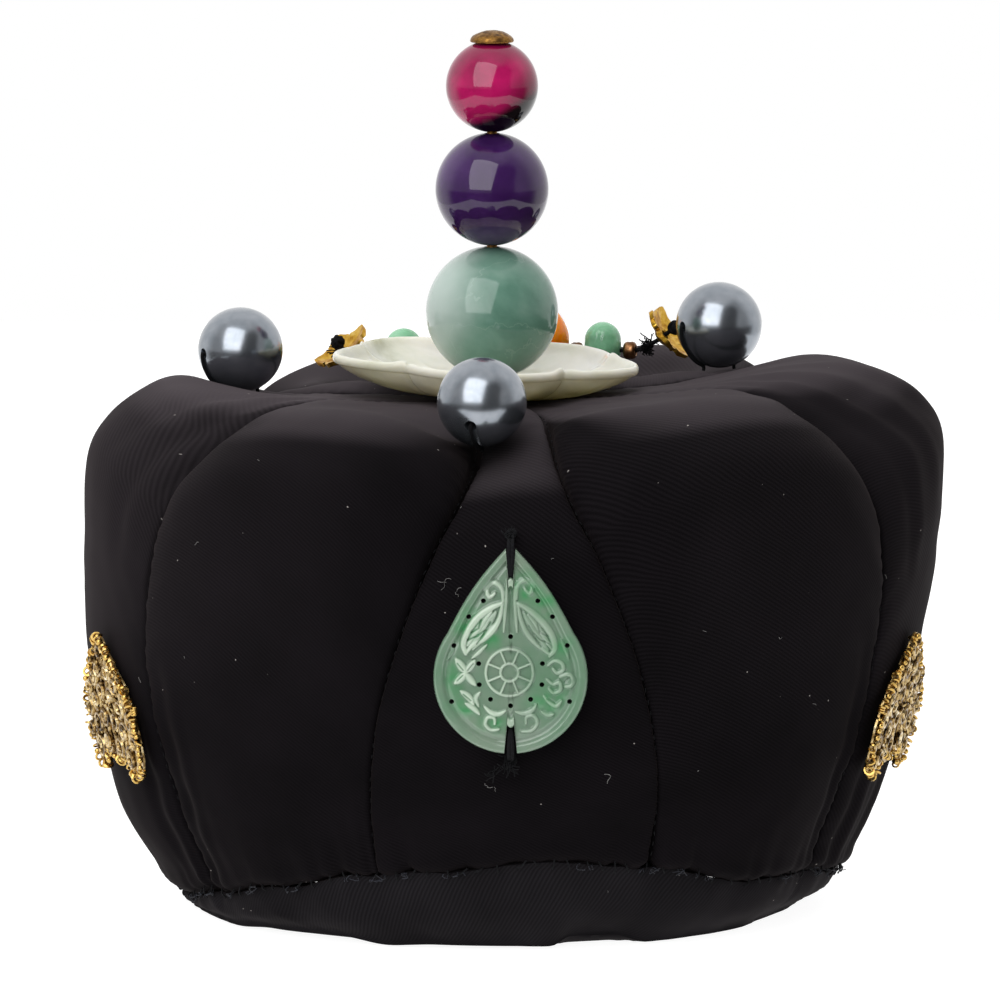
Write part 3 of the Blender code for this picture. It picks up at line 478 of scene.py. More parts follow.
# Each row is one height of the profile, from the eye of the top outwards and down to the table:
# radius and height down the middle of a gusset, the middle of a flank, an outer seam and the
# lining, and half the angle in degrees that a gusset takes there.
body = {
    "rows": [
        (3.0, 89.0, 3.0, 89.0, 3.0, 89.0, 3.0, 80.6, 12.0),
        (15.0, 89.6, 15.0, 89.6, 15.0, 89.7, 15.0, 81.0, 10.0),
        (28.0, 90.7, 30.0, 91.0, 27.0, 90.8, 27.0, 82.2, 9.2),
        (37.0, 91.2, 45.0, 92.4, 38.5, 91.8, 37.0, 82.6, 8.4),
        (45.5, 89.9, 57.5, 93.7, 48.0, 88.4, 45.0, 81.6, 7.8),
        (56.0, 84.6, 66.0, 91.6, 55.5, 83.8, 51.5, 78.8, 7.8),
        (64.5, 79.2, 71.6, 88.0, 63.5, 79.4, 57.0, 73.6, 8.8),
        (70.2, 72.2, 75.2, 82.4, 70.6, 72.9, 61.0, 67.0, 11.2),
        (72.6, 62.5, 76.0, 72.5, 74.0, 64.0, 63.6, 58.0, 14.2),
        (73.0, 52.0, 75.4, 60.0, 74.4, 54.5, 64.2, 48.0, 17.2),
        (72.6, 41.0, 73.8, 46.0, 73.0, 43.0, 63.4, 37.0, 19.6),
        (70.8, 30.0, 71.0, 32.0, 70.0, 31.0, 61.0, 27.0, 21.0),
        (67.6, 20.0, 66.9, 18.0, 65.5, 20.0, 57.6, 17.5, 21.6),
        (62.6, 10.0, 61.6, 8.0, 60.2, 9.0, 54.0, 8.5, 21.8),
        (57.0, 0.0, 56.0, 0.0, 56.0, 0.0, 51.0, 0.0, 21.8),
    ],
    "columns": ("gussetR", "gussetZ", "flankR", "flankZ", "seamR", "seamZ", "liningR",
                "liningZ", "gussetHalf"),
    "seamDip": 1.3, "gussetRound": 0.75, "flankRound": 0.62, "eyeX": -3.7, "eyeReach": 27.0,
    "seamTurn": 2.2, "tilt": 0.024, "tiltFrom": 90.0, "gap": 0.12,
    "lean": [(0.0, -0.6), (6.0, -2.1), (18.0, -2.5), (34.0, -2.0), (47.0, -1.6), (61.0, -0.6),
             (70.0, 0.0), (84.0, 0.4), (92.0, 0.4)],
    # hollows and bumps of the top: x, y, spread in x and y, depth
    "dents": [(-8.0, -47.5, 11.5, 10.5, 3.7), (-48.2, 7.0, 8.0, 8.0, 2.4),
              (36.8, 25.0, 9.0, 9.0, 0.4), (-2.0, 38.5, 40.0, 10.5, 4.1),
              (-37.0, 8.0, 9.0, 22.0, 1.2), (-61.0, 2.0, 9.0, 24.0, -1.3),
              (49.0, 4.0, 12.0, 26.0, -1.7), (21.0, 46.0, 13.0, 15.0, 3.2),
              (-36.0, 46.0, 12.0, 15.0, 1.8)],
    "dentsAbove": 75.0, "pressed": 4, "pressedWide": 1.2, "pressedDeep": 0.6,
    # gathers over the front hem: azimuth, spread in degrees, depth
    "pleats": [(13.5, 3.2, 1.5), (-17.0, 2.6, 0.7), (23.5, 2.4, 0.8), (-6.0, 2.4, 0.5),
               (3.5, 2.4, 0.5)],
    "pleatTop": 34.0,
    # creases beside the outer seams: azimuth, slide per row, spread in degrees, first and last
    # row, depth
    "creases": [(65.5, 0.3, 1.3, 2.6, 9.0, 0.55), (70.5, 0.9, 1.7, 2.6, 8.0, 0.6),
                (79.0, 1.2, 2.4, 3.0, 7.0, 0.4), (-66.0, -0.5, 1.5, 2.8, 8.5, 0.75),
                (-72.5, -0.9, 1.8, 2.8, 6.8, 0.45), (161.0, 0.4, 1.8, 3.0, 8.0, 0.5),
                (-163.0, -0.5, 1.8, 3.0, 8.0, 0.5), (56.5, 0.0, 1.2, 9.5, 13.0, 0.5),
                (-56.5, 0.0, 1.3, 9.5, 13.0, 0.5), (66.0, 0.0, 1.4, 10.0, 13.5, 0.55),
                (-65.0, 0.2, 1.5, 10.0, 13.5, 0.6), (75.0, 0.0, 1.6, 10.5, 13.5, 0.45)],
    "rowsFine": 132, "flankFine": 64, "gussetFine": 40, "atSeams": 0.11, "atEnds": 0.05,
    "middle": 40.0,
}
bodyColumns = {name: [row[i] for row in body["rows"]] for i, name in enumerate(body["columns"])}
lastRow = len(body["rows"]) - 1


def column(name, t):
    return throughPoints(bodyColumns[name], t)


def seamShift(azimuth):
    away = abs(signedTurn(azimuth + 60.0)) / 60.0
    return body["seamTurn"] * math.cos(0.5 * math.pi * away) ** 2 if away < 1.0 else 0.0


def eyeShift(r):
    return body["eyeX"] * max(0.0, 1.0 - (r - body["rows"][0][0]) / body["eyeReach"])


def settle(azimuth, r, z):
    # lean, tilt, hollows and gathers of the soft body
    turn = math.radians(azimuth + seamShift(azimuth))
    x, y = r * math.sin(turn) + eyeShift(r), -r * math.cos(turn)
    if z < body["pleatTop"]:
        signed = signedTurn(azimuth)
        for at, spread, deep in body["pleats"]:
            inward = deep * (1.0 - z / body["pleatTop"]) ** 1.5 * bump(signed, at, spread)
            x -= inward * math.sin(turn)
            y += inward * math.cos(turn)
    lift = z + body["tilt"] * x * z / body["tiltFrom"]
    if z > body["dentsAbove"]:
        for dentX, dentY, spreadX, spreadY, deep in body["dents"]:
            near = ((x - dentX) / spreadX) ** 2 + ((y - dentY) / spreadY) ** 2
            if near < 9.0:
                lift -= deep * math.exp(-near)
    return Vector((x + mixAlong(body["lean"], z) * math.sin(turn) ** 2, y, lift))


def gussetSeam(t):
    step = 0.05
    back = t - step if t > step else 0.0
    dr = column("gussetR", t + step) - column("gussetR", back)
    dz = column("gussetZ", t + step) - column("gussetZ", back)
    length = math.hypot(dr, dz) or 1.0
    dip = body["seamDip"] * min(1.0, t / 2.0)
    return column("gussetR", t) + dip * dz / length, column("gussetZ", t) - dip * dr / length


def silkPoint(azimuth, t):
    turn = (azimuth + 60.0) % 120.0 - 60.0
    half = column("gussetHalf", t)
    seamR, seamZ = gussetSeam(t)
    if abs(turn) <= half:
        swell = (1.0 - (turn / half) ** 2) ** body["gussetRound"]
        r = seamR + swell * (column("gussetR", t) - seamR)
        z = seamZ + swell * (column("gussetZ", t) - seamZ)
    else:
        across = (abs(turn) - half) / (60.0 - half)
        swell = (4 * across * (1 - across)) ** body["flankRound"] if 0.0 < across < 1.0 else 0.0
        outerR, outerZ = column("seamR", t), column("seamZ", t)
        r = seamR + across * (outerR - seamR) + swell * (column("flankR", t)
                                                         - 0.5 * (seamR + outerR))
        z = seamZ + across * (outerZ - seamZ) + swell * (column("flankZ", t)
                                                         - 0.5 * (seamZ + outerZ))
    return settle(azimuth, r, z)


def liningPoint(azimuth, t):
    turn = math.radians(azimuth + seamShift(azimuth))
    r = column("liningR", t)
    return Vector((r * math.sin(turn) + eyeShift(r), -r * math.cos(turn), column("liningZ", t)))


hem = {
    "seam": [(-180.0, 9.5), (-130.0, 6.5), (-95.0, 2.6), (-75.0, 3.0), (-59.0, 6.0),
             (-42.0, 9.4), (-24.5, 13.1), (-12.0, 14.4), (5.0, 16.6), (21.5, 14.6), (42.5, 10.3),
             (60.0, 9.3), (75.0, 7.2), (95.0, 4.5), (130.0, 6.5), (180.0, 9.5)],
    "foot": [(-180.0, 56.5), (-110.0, 56.8), (-60.0, 57.4), (-30.0, 55.6), (0.0, 54.6),
             (14.0, 52.2), (28.0, 53.0), (46.0, 52.4), (62.0, 50.4), (78.0, 51.0),
             (100.0, 53.8), (130.0, 55.5), (180.0, 56.5)],
    # where the band's lip stands off the table
    "lift": [(-60.0, 0.0), (-50.0, 0.7), (-33.0, 0.8), (-24.0, 0.0), (-15.0, 0.5), (0.0, 0.5),
             (7.0, 0.2), (11.0, 1.5), (19.0, 1.5), (26.0, 0.0), (40.0, 0.0)],
    "inside": 47.2, "step": 0.8, "full": 1.5, "edge": 1.0, "ragged": 0.35,
    "around": 420, "section": 26,
}


def rowAt(azimuth, height, first=6.0):
    # row of the profile at which the silk has come down to a height
    return lastTrue(first, lastRow, lambda t: silkPoint(azimuth, t).z > height)


def hemRow(azimuth):
    signed = signedTurn(azimuth)
    ragged = hem["ragged"] * grain(signed, 0.0, 3.0, 3.1)
    return rowAt(azimuth, mixAlong(hem["seam"], signed) + ragged, 8.0)


hemRows = [hemRow(-180.0 + k) for k in range(361)]


def hemRowFast(azimuth):
    at = signedTurn(azimuth) + 180.0
    i = min(359, int(at))
    return hemRows[i] + (hemRows[i + 1] - hemRows[i]) * (at - i)


def panelTurn(kind, centre, side, across, t):
    half = column("gussetHalf", t)
    if kind == "gusset":
        return centre + half * (2.0 * across - 1.0)
    return centre + side * (half + across * (60.0 - half))


# length of cloth down the profile, in mm, at each whole row
downCloth = [0.0]
for row, after in zip(body["rows"], body["rows"][1:]):
    downCloth.append(downCloth[-1] + math.hypot(after[2] - row[2], after[3] - row[3]))


def clothDown(t):
    i = min(int(t), lastRow - 1)
    return downCloth[i] + (downCloth[i + 1] - downCloth[i]) * (t - i)


gatherMarks = [(random.uniform(-180, 180), random.uniform(0.5, 1.3), random.uniform(0.12, 0.5),
                random.uniform(7.0, 26.0)) for _ in range(120)]
gatherMarks += [(random.uniform(-32, 34), random.uniform(0.5, 1.0), random.uniform(0.25, 0.6),
                 random.uniform(10.0, 24.0)) for _ in range(26)]
gatherMarks.sort()


# how the sewn silk rises and falls along its normal, in mm: depth, place and spread across
sewn = {"spanned": (0.55, 0.0, 4.2), "cut": (-0.5, 0.0, 0.4), "valley": (-0.25, 0.0, 1.6),
        "pucker": (0.13, 1.1, 1.5), "drag": (0.16, 3.5, 3.5), "turnedUnder": (-0.9, 0.0, 0.9),
        "roll": (0.35, 2.6, 1.6), "crestBack": 0.55, "hemReach": 30.0,
        "waves": [(0.42, 0.0, 17.0), (0.14, 5.0, 5.5)], "waveReach": 60.0}


def sewnRise(name, x):
    depth, place, spread = sewn[name]
    return depth * bump(x, place, spread)


def silkDetail(azimuth, t, across, wide, down, kind):
    # small rise and fall of the silk along its normal: seam valleys, puckers, creases, gathers
    signed = signedTurn(azimuth)
    toSeam = min(across, 1.0 - across) * wide
    seamSide = 1.0 if across > 0.5 else -1.0
    rise = sewnRise("cut", toSeam) + sewnRise("valley", toSeam)
    # only a gusset's seams lie in a soft valley of the body, which the silk partly spans
    if kind == "gusset" or across < 0.5:
        rise += sewnRise("spanned", toSeam) * smoothStep(t, 3.0, 5.0)
    pucker = math.sin(down * 2.3 + 1.7 * math.sin(down * 0.31 + seamSide) + 3.0 * seamSide)
    rise += pucker * sewnRise("pucker", toSeam)
    drag = math.sin(down * 0.55 + 4.0 * math.sin(signed * 0.05))
    rise += drag * sewnRise("drag", toSeam) * smoothStep(t, 2.5, 4.0)
    for at, slide, spread, first, last, deep in body["creases"]:
        line = at + slide * (t - 0.5 * (first + last))
        if abs(signed - line) < 3.0 * spread and first < t < last:
            fade = math.sin(math.pi * (t - first) / (last - first)) ** 0.7
            rise -= deep * fade * bump(signed, line, spread)
            rise += sewn["crestBack"] * deep * fade * bump(signed, line + 2.0 * spread, spread)
    fromHem = clothDown(hemRowFast(azimuth)) - clothDown(t)
    if fromHem < sewn["hemReach"]:
        for at, spread, deep, reach in gatherMarks:
            if abs(signed - at) < 2.5 * spread and fromHem < reach:
                rise -= deep * (1.0 - fromHem / reach) ** 1.4 * bump(signed, at, spread)
        rise += sewnRise("turnedUnder", fromHem) + sewnRise("roll", fromHem)
    if t < 6.5:
        # what lies on the top presses it a little further in
        here, wider = silkPoint(azimuth, t), body["pressedWide"]
        for dentX, dentY, spreadX, spreadY, deep in body["dents"][:body["pressed"]]:
            near = (((here.x - dentX) / (wider * spreadX)) ** 2
                    + ((here.y - dentY) / (wider * spreadY)) ** 2)
            if near < 6.0:
                rise -= body["pressedDeep"] * math.exp(-near)
    for depth, layer, size in sewn["waves"]:
        rise += depth * grain(math.radians(signed) * sewn["waveReach"], down, layer, size)
    return rise


# how much painted sheen lies on the silk: most on the top, some at the sides, the left more than the
# right, after how the light falls
paintedSheenAmounts = {"top": 0.66, "up": (0.78, 0.99), "sideTurn": 85.0, "sideSpread": 28.0, "left": 0.32,
          "right": 0.09, "sideHeights": (34.0, 64.0), "flank": 0.05, "flankTurns": (16.0, 30.0),
          "flankHeights": (25.0, 70.0)}


def paintedSheenShare(azimuth, z, upward):
    signed = signedTurn(azimuth)
    side = paintedSheenAmounts["left" if signed < 0 else "right"]
    atSide = side * bump(abs(signed), paintedSheenAmounts["sideTurn"], paintedSheenAmounts["sideSpread"])
    onFlank = paintedSheenAmounts["flank"] * smoothStep(abs(signed), *paintedSheenAmounts["flankTurns"])
    return min(1.0, paintedSheenAmounts["top"] * smoothStep(upward, *paintedSheenAmounts["up"])
               + atSide * smoothStep(z, *paintedSheenAmounts["sideHeights"])
               + onFlank * smoothStep(z, *paintedSheenAmounts["flankHeights"]))


def turnedOut(normal, here):
    # the normal at a point in mm, made to look away from the middle of the crown
    if normal.dot(Vector((here.x, here.y, body["middle"]))) < 0:
        normal.negate()
    return normal


def addPanel(name, kind, centre, side, nodeName):
    # silk and lining are two grids of the same count, joined along their edges
    count = body["gussetFine"] if kind == "gusset" else body["flankFine"]
    rows = body["rowsFine"]
    bm = bmesh.new()
    uv = bm.loops.layers.uv.new("cloth")
    # the share of painted sheen at each point of the silk
    paintedSheen = bm.verts.layers.float.new("paintedSheen")
    sheets = []
    for surface in ("silk", "lining"):
        sheet = bmesh.ops.create_grid(bm, x_segments=count, y_segments=rows, size=0.5)["verts"]
        spots = {}
        for vert in sheet:
            u, v = vert.co.x + 0.5, 0.5 - vert.co.y
            # closer columns beside the seams, closer rows at the top and the hem
            across = u - body["atSeams"] * math.sin(math.tau * u)
            foot = hemRowFast(panelTurn(kind, centre, side, across, lastRow - 1.5))
            foot = hemRowFast(panelTurn(kind, centre, side, across, foot))
            t = foot * (v - body["atEnds"] * math.sin(math.tau * v))
            azimuth = panelTurn(kind, centre, side, across, t)
            radius = column("liningR" if surface == "lining" else "seamR", t)
            inset = math.degrees(0.5 * body["gap"] / radius)
            direction = 1.0 if kind == "gusset" else side
            azimuth += direction * inset * ((across < 1e-6) * 1.0 - (across > 1.0 - 1e-6) * 1.0)
            spots[vert] = (across, t, azimuth)
            place = silkPoint(azimuth, t) if surface == "silk" else liningPoint(azimuth, t)
            vert.co = place * mm
        sheets.append((sheet, spots))
    bm.normal_update()
    silkVerts, spots = sheets[0]
    moves = {}
    for vert in silkVerts:
        across, t, azimuth = spots[vert]
        span = math.radians((2.0 if kind == "gusset" else 1.0)
                            * (column("gussetHalf", t) if kind == "gusset"
                               else 60.0 - column("gussetHalf", t)))
        wide = span * max(4.0, column("seamR", t))
        normal = turnedOut(vert.normal.copy(), vert.co / mm)
        moves[vert] = normal * silkDetail(azimuth, t, across, wide, clothDown(t), kind) * mm
        vert[paintedSheen] = paintedSheenShare(azimuth, vert.co.z / mm, normal.z)
    for vert, move in moves.items():
        vert.co += move
    for sheet, spots in sheets:
        for vert in sheet:
            across, t, azimuth = spots[vert]
            for loop in vert.link_loops:
                loop[uv].uv = (math.radians(signedTurn(azimuth - centre)) * column("seamR", t),
                               -clothDown(t))
    rims = []
    for sheet, spots in sheets:
        inSheet = set(sheet)
        rims.append([e for e in bm.edges if e.is_boundary and e.verts[0] in inSheet])
    bmesh.ops.bridge_loops(bm, edges=rims[0] + rims[1])
    makePiece(name, bm, silkPanel, (nodeName,))


print("padded silk panels")
for centre, label in ((0.0, "front"), (120.0, "right"), (-120.0, "left")):
    addPanel("gussetSilk_" + label, "gusset", centre, 1, "gusset_" + label)
for centre, side, label in ((0.0, 1, "front_right"), (0.0, -1, "front_left"),
                            (120.0, -1, "side_right"), (-120.0, 1, "side_left"),
                            (120.0, 1, "back_right"), (-120.0, -1, "back_left")):
    addPanel("flankSilk_" + label, "flank", centre, side, "flank_" + label)


def addHemBand():
    # the band is one closed ring: a grid rolled up both ways, its edges merged
    bm = bmesh.new()
    uv = bm.loops.layers.uv.new("cloth")
    sheet = bmesh.ops.create_grid(bm, x_segments=hem["around"], y_segments=hem["section"],
                                  size=0.5)["verts"]
    spots = {}
    sections = {}
    for vert in sheet:
        u, v = vert.co.x + 0.5, vert.co.y + 0.5
        azimuth = -180.0 + 360.0 * u
        out = outwards(math.radians(azimuth + seamShift(azimuth)))
        key = round(u, 6)
        if key not in sections:
            row = hemRowFast(azimuth)
            silk, lining = silkPoint(azimuth, row), liningPoint(azimuth, row)
            reach = mixAlong(hem["foot"], signedTurn(azimuth))
            lift = mixAlong(hem["lift"], signedTurn(azimuth))
            foot = out * reach
            top = silk - out * hem["step"] - upBy(0.15)
            middle = (top + foot) / 2 + out * hem["full"] * min(1.0, top.z / 8.0)
            low = foot + upBy(lift + min(hem["edge"], 0.4 * top.z))
            sections[key] = [lining - upBy(0.3), top - out * 2.5 + upBy(0.1), top, middle, low,
                             foot - out * hem["edge"] + upBy(lift), out * hem["inside"],
                             out * (hem["inside"] + 0.5) + upBy(0.5 * lining.z),
                             lining - upBy(0.3)]
        section = sections[key]
        s = v * (len(section) - 1)
        place = Vector([throughPoints([p[i] for p in section], s) for i in range(3)])
        face = smoothStep(s, 1.7, 2.3) * (1.0 - smoothStep(s, 4.6, 5.2))
        long = math.radians(azimuth) * 55.0
        wave = 0.5 * grain(long, place.z * 0.8, 11.0, 7.0)
        wave += 0.28 * grain(long + place.z * 1.3, place.z * 0.4, 2.0, 2.6)
        wave += 0.25 * bump(s, 2.25, 0.2) * math.sin(long * 1.1 + 2.0 * math.sin(long * 0.23))
        place += out * wave * face
        if s > 4.9 or s < 1.0:
            place.z = max(0.0, place.z)
        vert.co = place * mm
        spots[vert] = (long, 6.0 * s)
    for vert in sheet:
        for loop in vert.link_loops:
            loop[uv].uv = spots[vert]
    made = makePiece("hemSilk", bm, silkHem, ("hem_band",), merge=0.01)


print("hem band")
addHemBand()

# sewing

# running stitches of the seams, with how far each strays; whip stitches and frays of the hem
sewing = {"pitch": 2.1, "length": 1.0, "radius": 0.11, "sink": 0.42, "raised": 0.12,
          "aside": 0.08, "slant": 0.22, "step": 0.012, "ahead": 0.03, "top": 1.6, "hemGap": 0.12,
          "whipPitch": 3.1, "whipRadius": 0.16, "whipSlant": 0.9, "whipLong": (0.6, 1.5),
          "frays": 3, "frayRadius": 0.07}


def onSilk(azimuth, t, rise=0.0):
    # point on the silk with its outward normal
    here = silkPoint(azimuth, t)
    side = silkPoint(azimuth + 0.5, t) - silkPoint(azimuth - 0.5, t)
    down = silkPoint(azimuth, t + 0.05) - silkPoint(azimuth, max(0.0, t - 0.05))
    normal = turnedOut(down.cross(side).normalized(), here)
    return here + normal * rise, normal


def addSeamStitches():
    bm = bmesh.new()
    # a gusset's two seams lie to its sides, an outer seam in the middle between two gussets
    seams = [(centre, side) for centre in (0.0, 120.0, -120.0) for side in (-1, 1)]
    seams += [(centre, 0) for centre in (60.0, -60.0, 180.0)]
    for centre, side in seams:
        t, travelled = sewing["top"], 0.0
        end = hemRowFast(centre + side * 21.8)
        before = None
        while t < end - sewing["hemGap"]:
            azimuth = centre + side * column("gussetHalf", t) if side else centre
            here, normal = onSilk(azimuth, t, -sewing["sink"])
            if before is not None:
                travelled += (here - before).length
            if travelled > sewing["pitch"] * random.uniform(0.85, 1.15):
                travelled = 0.0
                ahead = t + sewing["ahead"]
                nextTurn = centre + side * column("gussetHalf", ahead) if side else centre
                along = (onSilk(nextTurn, ahead, -sewing["sink"])[0] - here).normalized()
                across = along.cross(normal).normalized()
                aim = along + across * random.uniform(-sewing["slant"], sewing["slant"])
                aside = across * random.uniform(-sewing["aside"], sewing["aside"])
                place = facing(here + normal * sewing["raised"] + aside, aim)
                stamp(bm, stitchMesh, place @ sized(sewing["radius"], sewing["radius"],
                                                    0.5 * sewing["length"]))
            before = here
            t += sewing["step"]
    makePiece("seamStitches", bm, threadBlack)


print("stitches")
addSeamStitches()


def addWhipStitches():
    # slanting stitches that catch the panels to the hem band
    bm = bmesh.new()
    azimuth = -180.0
    while azimuth < 180.0:
        t = hemRowFast(azimuth)
        here, normal = onSilk(azimuth, t - 0.03, 0.15)
        side = sideways(math.radians(azimuth))
        slant = random.uniform(-sewing["whipSlant"], sewing["whipSlant"])
        long = random.uniform(*sewing["whipLong"])
        top = here + side * slant + upBy(0.8 * long) - normal * 0.45
        bottom = here - side * slant - upBy(long) - normal * 0.75
        arch = 0.5 * (top + bottom) + normal * 0.45
        tubeAlong(bm, smoothPath([top, arch, bottom], 3), sewing["whipRadius"], 5)
        azimuth += random.uniform(0.7, 1.35) * math.degrees(sewing["whipPitch"] / 60.0)
    makePiece("hemStitches", bm, threadBlack)


addWhipStitches()


def addHemFrays():
    bm = bmesh.new()
    # azimuth, how far the ends wander
    spots = [(-71, 1.5), (-66, 1.0), (-62, 1.2), (-54, 0.9), (-47, 1.1), (-38, 0.9), (-27, 0.9),
             (-21, 1.2), (-17, 0.8), (-9, 0.9), (11, 0.8), (22, 1.1), (27, 1.3), (31, 0.7),
             (52, 1.1), (63, 1.3), (69, 1.6), (76, 1.2), (104, 1.0), (127, 1.1), (151, 0.9),
             (172, 1.2), (-165, 1.0), (-140, 1.2), (-118, 1.0), (-97, 1.1)]
    for azimuth, size in spots:
        for _ in range(sewing["frays"]):
            angle = azimuth + random.uniform(-1.5, 1.5)
            t = hemRowFast(angle)
            here, normal = onSilk(angle, t - 0.02, 0.0)
            side = sideways(math.radians(angle))
            route = [here - normal * 0.5]
            for k in range(1, 4):
                reach = normal * 0.35 * k * random.uniform(0.2, 1.0)
                reach += side * random.uniform(-1.0, 1.0) * size
                reach += upBy(random.uniform(-1.0, 0.7) * size * 0.6)
                route.append(here + reach)
            tubeAlong(bm, smoothPath(route, 3), sewing["frayRadius"], 4)
    makePiece("hemFrays", bm, threadBlue)


addHemFrays()

# stones, pearls and gilding


def stone(name, base, stops, scale, rough, within=(0.0, (1.0, 0.2, 0.1), 0.05), coat=0.0, clear=0.0):
    # polished stone: clouded colour, and light let in under the skin by weight, reach of each
    # colour and scale; some have a clear coat or are partly clear
    weight, reach, spread = within
    made, tree, shader = newMaterial(name, base, rough, extra={
        "Coat Weight": coat, "Coat Roughness": 0.03, "Subsurface Weight": weight,
        "Subsurface Radius": reach, "Subsurface Scale": spread, "Transmission Weight": clear})
    if clear:
        shader.inputs["IOR"].default_value = 1.54
    place = objectPlace(tree)
    swirl = addNode(tree, "ShaderNodeTexNoise", values={"Scale": scale * 0.45, "Detail": 2.0},
                    links={"Vector": place})
    pulled = addNode(tree, "ShaderNodeMixRGB", {"blend_type": "ADD"}, {"Fac": 0.012},
                     {"Color1": place, "Color2": swirl.outputs["Color"]})
    clouds = noiseAt(tree, pulled.outputs["Color"], scale, 6.0, 0.55)
    tree.links.new(rampTo(tree, clouds, stops), shader.inputs["Base Color"])
    return made


# jadeite bead: glassy grey-green with cloudy patches and pale hairline veins
jadeBead = stone("jadeite_polished", "#68897A", [(0.3, "#4C7262"), (0.46, "#5F8474"),
                                                 (0.6, "#6C8D7E"), (0.78, "#8BA598")],
                 95.0, 0.09, (0.12, (0.004, 0.005, 0.004), 0.6))
jadeTree = jadeBead.node_tree
nearVein = noiseAt(jadeTree, objectPlace(jadeTree), 70.0, 5.0)
onVein = reckon(jadeTree, "COMPARE", {1: 0.5, 2: 0.0035}, {0: nearVein})
tintOver(jadeBead, reckon(jadeTree, "MULTIPLY", {1: 0.12}, {0: onVein}), "#B5C8BC")
# amethyst bead: deep violet, clearer and paler towards its foot
amethyst = stone("amethyst_polished", "#361B46", [(0.3, "#260D3A"), (0.5, "#34184A"),
                                                  (0.68, "#43265A"), (0.85, "#5E4474")],
                 80.0, 0.07, (0.1, (0.003, 0.001, 0.005), 0.5))
# dyed tiger's eye: silky magenta bands with a smoky zone
tigerEye = stone("tiger_eye_dyed_magenta", "#A01050", [(0.25, "#4A0524"), (0.45, "#860C42"),
                                                       (0.6, "#AE1558"), (0.8, "#BE2466")],
                 60.0, 0.08)
# white nephrite of the dish: milky grey with brown stains under it
nephrite = stone("nephrite_polished_white", "#DDDED8", [(0.28, "#94957F"), (0.42, "#B8B8A9"),
                                                        (0.58, "#C6C3B8"), (0.8, "#D0CDC4")],
                 70.0, 0.15, (0.5, (0.005, 0.0045, 0.0035), 1.0))
# jadeite of the teardrop: pale apple green, vivid where the stone runs so, with a painted highlight
# that makes the carving's high places paler, most on its left half
plaqueJade = stone("jadeite_carved", "#66806A", [(0.25, "#5A7C61"), (0.45, "#66806B"),
                                                 (0.6, "#728573"), (0.8, "#82907F")],
                   75.0, 0.13, (0.15, (0.002, 0.003, 0.002), 0.5), coat=0.35)
tintOver(plaqueJade, attributeShare(plaqueJade.node_tree, "green"), "#448556")
# painted highlight on the carving's high places
tintOver(plaqueJade, attributeShare(plaqueJade.node_tree, "raised"), "#AFC0AD")
# green aventurine and amber resin of the strand, both glowing a little from within
aventurine = stone("aventurine_polished", "#8CC8A0", [(0.3, "#78B98E"), (0.5, "#8CC8A0"),
                                                      (0.75, "#A6D8B4")],
                   260.0, 0.14, (0.3, (0.004, 0.005, 0.004), 0.8), clear=0.35)
amber = stone("amber_resin_polished", "#FFA818", [(0.3, "#F28800"), (0.5, "#FF9800"),
                                                  (0.75, "#FFAE10")],
              160.0, 0.08, (0.8, (0.008, 0.004, 0.0008), 0.8), clear=0.12)
# faux pearl: grey metallic lustre under a clear skin
pearlGrey = speckled("faux_pearl_grey", "#8D939A", [(0.3, "#868D95"), (0.7, "#999EA5")], 420.0,
                     0.22, 0.92, {"Coat Weight": 0.3, "Coat Roughness": 0.05}, 4.0)


def gildedMetal(name, stops, rough, scale):
    # worn gilding: bright on high places, brown patina in the low ones, fine casting grain
    made, tree, shader = newMaterial(name, stops[-1][1], rough, 1.0)
    place = objectPlace(tree)
    wear = noiseAt(tree, place, scale, 6.0, 0.65)
    tree.links.new(rampTo(tree, wear, stops), shader.inputs["Base Color"])
    dull = rangeTo(tree, wear, 0.3, 0.7, rough + 0.2, rough - 0.06)
    tree.links.new(dull, shader.inputs["Roughness"])
    roughen(tree, shader, noiseAt(tree, place, scale * 7.0, 3.0), 0.35, 0.06)
    return made


giltBrass = gildedMetal("gilt_brass_worn", [(0.28, "#6B4516"), (0.42, "#AE7D24"),
                                            (0.55, "#D0A43C"), (0.75, "#E6C878")], 0.3, 420.0)
# silver ground of the side ornaments, with the rim's coils in gold
giltSilver = gildedMetal("gilt_silver_antique", [(0.36, "#1E150C"), (0.45, "#7A6038"),
                                                 (0.56, "#BFA673"), (0.72, "#EFE2C2")],
                         0.18, 520.0)
tintOver(giltSilver, attributeShare(giltSilver.node_tree, "bright"), "#D2AE62")
# hammered head of the pin: gilt worn down to brown bronze
headBronze = gildedMetal("gilt_bronze_worn_brown", [(0.3, "#3E2A18"), (0.45, "#74522B"),
                                                    (0.6, "#9A7238"), (0.78, "#BE9A5A")],
                         0.4, 900.0)
# cast bronze spacers, copper-brown where they are rubbed
bronzeDark = gildedMetal("bronze_patinated", [(0.3, "#3A2415"), (0.5, "#7E5636"),
                                              (0.7, "#B98A62")], 0.32, 500.0)

# stacked beads on their pin

finial = {"x": -3.7, "y": 0.0, "foot": 92.65, "bore": 1.25, "gap": 0.3,
          "beads": [("jadeBead", 11.65, jadeBead, "green_jade", "bead_jade"),
                    ("amethystBead", 9.95, amethyst, "amethyst", "bead_amethyst"),
                    ("tigerEyeBead", 8.1, tigerEye, "tiger_eye", "bead_tiger_eye")],
          "postRadius": 0.9, "rivetFoot": 79.0, "rivetRadius": 5.2, "rivetThick": 1.1,
          "headRadius": 3.85, "headRise": 1.5, "headEdge": 0.5}


def beadCentre(index):
    z = finial["foot"]
    for k, bead in enumerate(finial["beads"]):
        half = math.sqrt(bead[1] ** 2 - finial["bore"] ** 2)
        if k == index:
            return Vector((finial["x"], finial["y"], z + half))
        z += 2 * half + finial["gap"]


